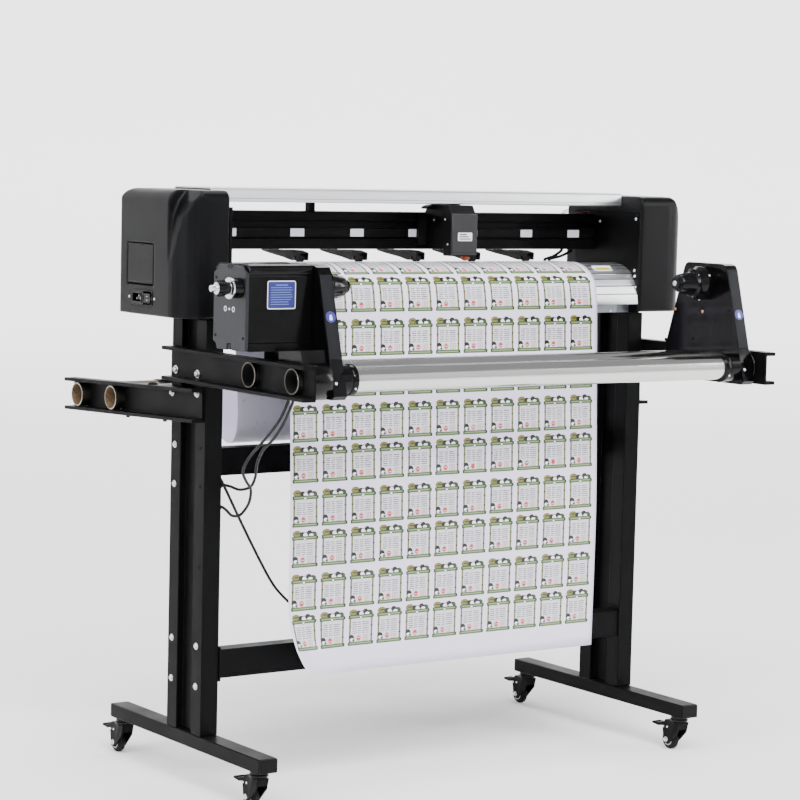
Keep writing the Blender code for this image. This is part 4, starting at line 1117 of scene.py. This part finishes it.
def build_drive_box():
    low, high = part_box("drive_box")
    start = (low[0] + 0.004, low[1] + 0.0045, high[2] - 0.0125)
    run = high[0] - 0.004 - start[0]
    rod = [(0, 0), (0.004, 0.0015), (0.005, 0.004), (0.005, run - 0.004), (0.004, run - 0.0015), (0, run)]
    add("drive_box_rail", lathe(rod, start, "X", 24), "gloss_black")
    face = low[1] + 0.003
    x, z = (-0.5755, -0.5155), (0.944, 0.995)
    add("drive_label", prism(rounded(x, z, 0.004), "Y", (face - 0.0003, face + 0.0002)), WHITE, slot="paper")
    field = rounded((x[0] + 0.0016, x[1] - 0.0016), (z[0] + 0.0016, z[1] - 0.0016), 0.0028)
    add("drive_label_field", prism(field, "Y", (face - 0.00045, face - 0.0002)), BLUE, slot="paper")
    draw = random.Random(4)
    rules = []
    for index in range(9):
        at = z[1] - 0.0085 - 0.0043 * index
        left, right, tall = (0.0175, 0.0175, 0.0016) if index == 0 else (0.0075,
                                                                         0.0065 + draw.uniform(0, 0.01), 0.001)
        rules.append(box((x[0] + left, x[1] - right), (face - 0.00055, face - 0.0004), (at, at + tall)))
    add("drive_label_rules", rules, PALE_BLUE, slot="paper")

    plate_low, plate_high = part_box("drive_end_plate")
    outer = plate_low[0]
    corners = [(outer, y, z) for y in (plate_low[1] + 0.007, plate_high[1] - 0.008)
               for z in (plate_low[2] + 0.024, plate_high[2] - 0.024)]
    fasteners("end_plate_screws", "socket", 0.0028, 0.0016, facing(LEFTWARD, corners), "gloss_black")
    mid = (low[1] + high[1]) / 2
    pillar = [(0, 0), (0.006, 0), (0.006, -0.0045), (0.0048, -0.0058), (0, -0.0058)]
    places = ((mid, high[2] - 0.0065), (mid, low[2] + 0.0065), (high[1] - 0.0105, high[2] - 0.01))
    add("end_plate_pillars", [lathe(pillar, (low[0] - 0.0002, *place), "X", 24) for place in places],
        "gloss_black")
    y, z = middle("tension_knob", 1), middle("tension_knob", 2)
    port = [(0.011, 0), (0.015, 0), (0.015, -0.0008), (0.011, -0.0008)]
    add("end_plate_port", ring(port, (outer, y + 0.055, 0.982), "X", 28), "gloss_black")
    mid = (plate_low[1] + plate_high[1]) / 2
    badge = []
    for dy, radius, hole in ((-0.014, 0.005, 0.005 * 0.62), (0.0, 0.0024, 0), (0.014, 0.005, 0.005 * 0.62)):
        badge.append(ring([(hole, 0), (radius, 0), (radius, -0.0003), (hole, -0.0003)],
                          (outer, mid + dy, 0.942), "X", 28))
    add("end_plate_badge", badge, WHITE, slot="paper")

    at = shift(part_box("tension_knob")[1][0] - 0.0479, y, z)
    grip = [(0, 0), (0.0024, 0.0006), (0.0026, 0.003), (0.0026, 0.015), (0.002, 0.0172), (0, 0.0178)]
    grips = [moved(lathe(grip, (0, 0, 0), "X", 12), at @ spun(math.tau * index / 8) @ shift(0, 0.0122, 0))
             for index in range(8)]
    add("tension_knob_grips", grips, "gloss_black", "tension_knob")


def build_hubs():
    """Collars and housings that hold the guide roller's ends."""
    y, z = middle("guide_roller", 1), middle("guide_roller", 2)
    collar = ((0.0262, 0), (0.0296, 0), (0.03, -0.002), (0.03, -0.009), (0.029, -0.011), (0.0284, -0.011),
              (0.0262, -0.001))
    add("hub_collars", [ring([(r, way * a) for r, a in collar], (x, y, z), "X", 40) for x, way in ((-0.421, 1), (0.462, -1))],
        "gloss_black")
    for name, start, end in (("left", -0.5325, -0.4795), ("right", 0.527, 0.5325)):
        sleeve = ring([(0.0264, 0), (0.034, 0), (0.035, 0.0015), (0.035, end - start - 0.0015),
                       (0.034, end - start),
                       (0.0264, end - start)], (start, y, z), "X", 48)
        if name == "left":
            arch = ((0.026, -0.02), (0.07, -0.012), (0.07, 0.05), (-0.005, 0.056), (-0.012, 0.03),
                    (0.02, 0.023))
            merge(sleeve, prism([(y + dy, z + dz) for dy, dz in arch], "X", (start, end)))
        add(f"hub_housing_{name}", sleeve, "gloss_black", bevel=0.0006)
    spots = [(x, y - 0.03 * math.cos(0.5), z + 0.03 * math.sin(a)) for x in (-0.427, 0.468) for a in (0.35,
                                                                                                      -0.5)]
    fasteners("hub_screws", "socket", 0.0022, 0.0012, facing((0, -1, 0), spots))


# Studio -------------------------------------------------------------------------------
def area_light(name, place, target, size, power, colour=(1.0, 1.0, 1.0)):
    data = bpy.data.lights.new(name, "AREA")
    data.shape = "RECTANGLE"
    data.size, data.size_y = size
    data.energy = power
    data.color = colour
    light = bpy.data.objects.new(name, data)
    light.location = place
    light.rotation_euler = (Vector(target) - Vector(place)).to_track_quat("-Z", "Y").to_euler()
    bpy.context.scene.collection.objects.link(light)


def build_studio():
    bowl = lathe([(0, 0), (4.0, 0), (9.0, 0), (10.2, 0.12), (11.2, 0.6), (11.8, 1.5), (12.0, 3.0), (12.0, 9.0)],
                 sides=96)
    bmesh.ops.recalc_face_normals(bowl, faces=bowl.faces)
    mesh = bpy.data.meshes.new("studio_floor")
    bowl.to_mesh(mesh)
    bowl.free()
    mesh.shade_smooth()
    floor = bpy.data.objects.new("studio_floor", mesh)
    pale = Paint("studio_floor", (0.94, 0.94, 0.95), 0.9)
    pale.tint(pale.spread(pale.noise(0.7, 3.0), 0.0, 0.05), (0.9, 0.9, 0.91))
    mesh.materials.append(pale.material)
    bpy.context.scene.collection.objects.link(floor)
    world = bpy.data.worlds.new("studio")
    world.use_nodes = True
    world.node_tree.nodes["Background"].inputs["Color"].default_value = (0.94, 0.96, 1.0, 1.0)
    world.node_tree.nodes["Background"].inputs["Strength"].default_value = 0.42
    bpy.context.scene.world = world
    sun = bpy.data.lights.new("fill_sun", "SUN")
    sun.energy = 7.5
    sun.color = (1.0, 0.99, 0.97)
    sun.angle = math.radians(60)
    holder = bpy.data.objects.new("fill_sun", sun)
    holder.rotation_euler = Vector((0.42, 0.62, -0.66)).to_track_quat("-Z", "Y").to_euler()
    bpy.context.scene.collection.objects.link(holder)
    area_light("key_left", (-3.4, -0.6, 2.2), (-0.4, 0.0, 0.9), (0.35, 2.2), 55)
    area_light("front_soft", (-0.6, -4.4, 3.2), (0.0, 0.0, 0.8), (2.4, 0.5), 130)
    area_light("right_strip", (3.0, -2.2, 1.8), (0.4, 0.0, 0.9), (0.25, 1.8), 40)
    area_light("overhead", (0.0, 0.6, 3.8), (0.0, 0.0, 1.0), (2.6, 1.0), 70)


build_camera()
build_leads()
finish_nodes()
build_end_covers()
build_web()
build_stand()
build_arms()
build_casters()
build_left_end()
build_head()
build_pinch_rollers()
build_carriage()
build_takeup()
build_drive_box()
build_hubs()
build_studio()
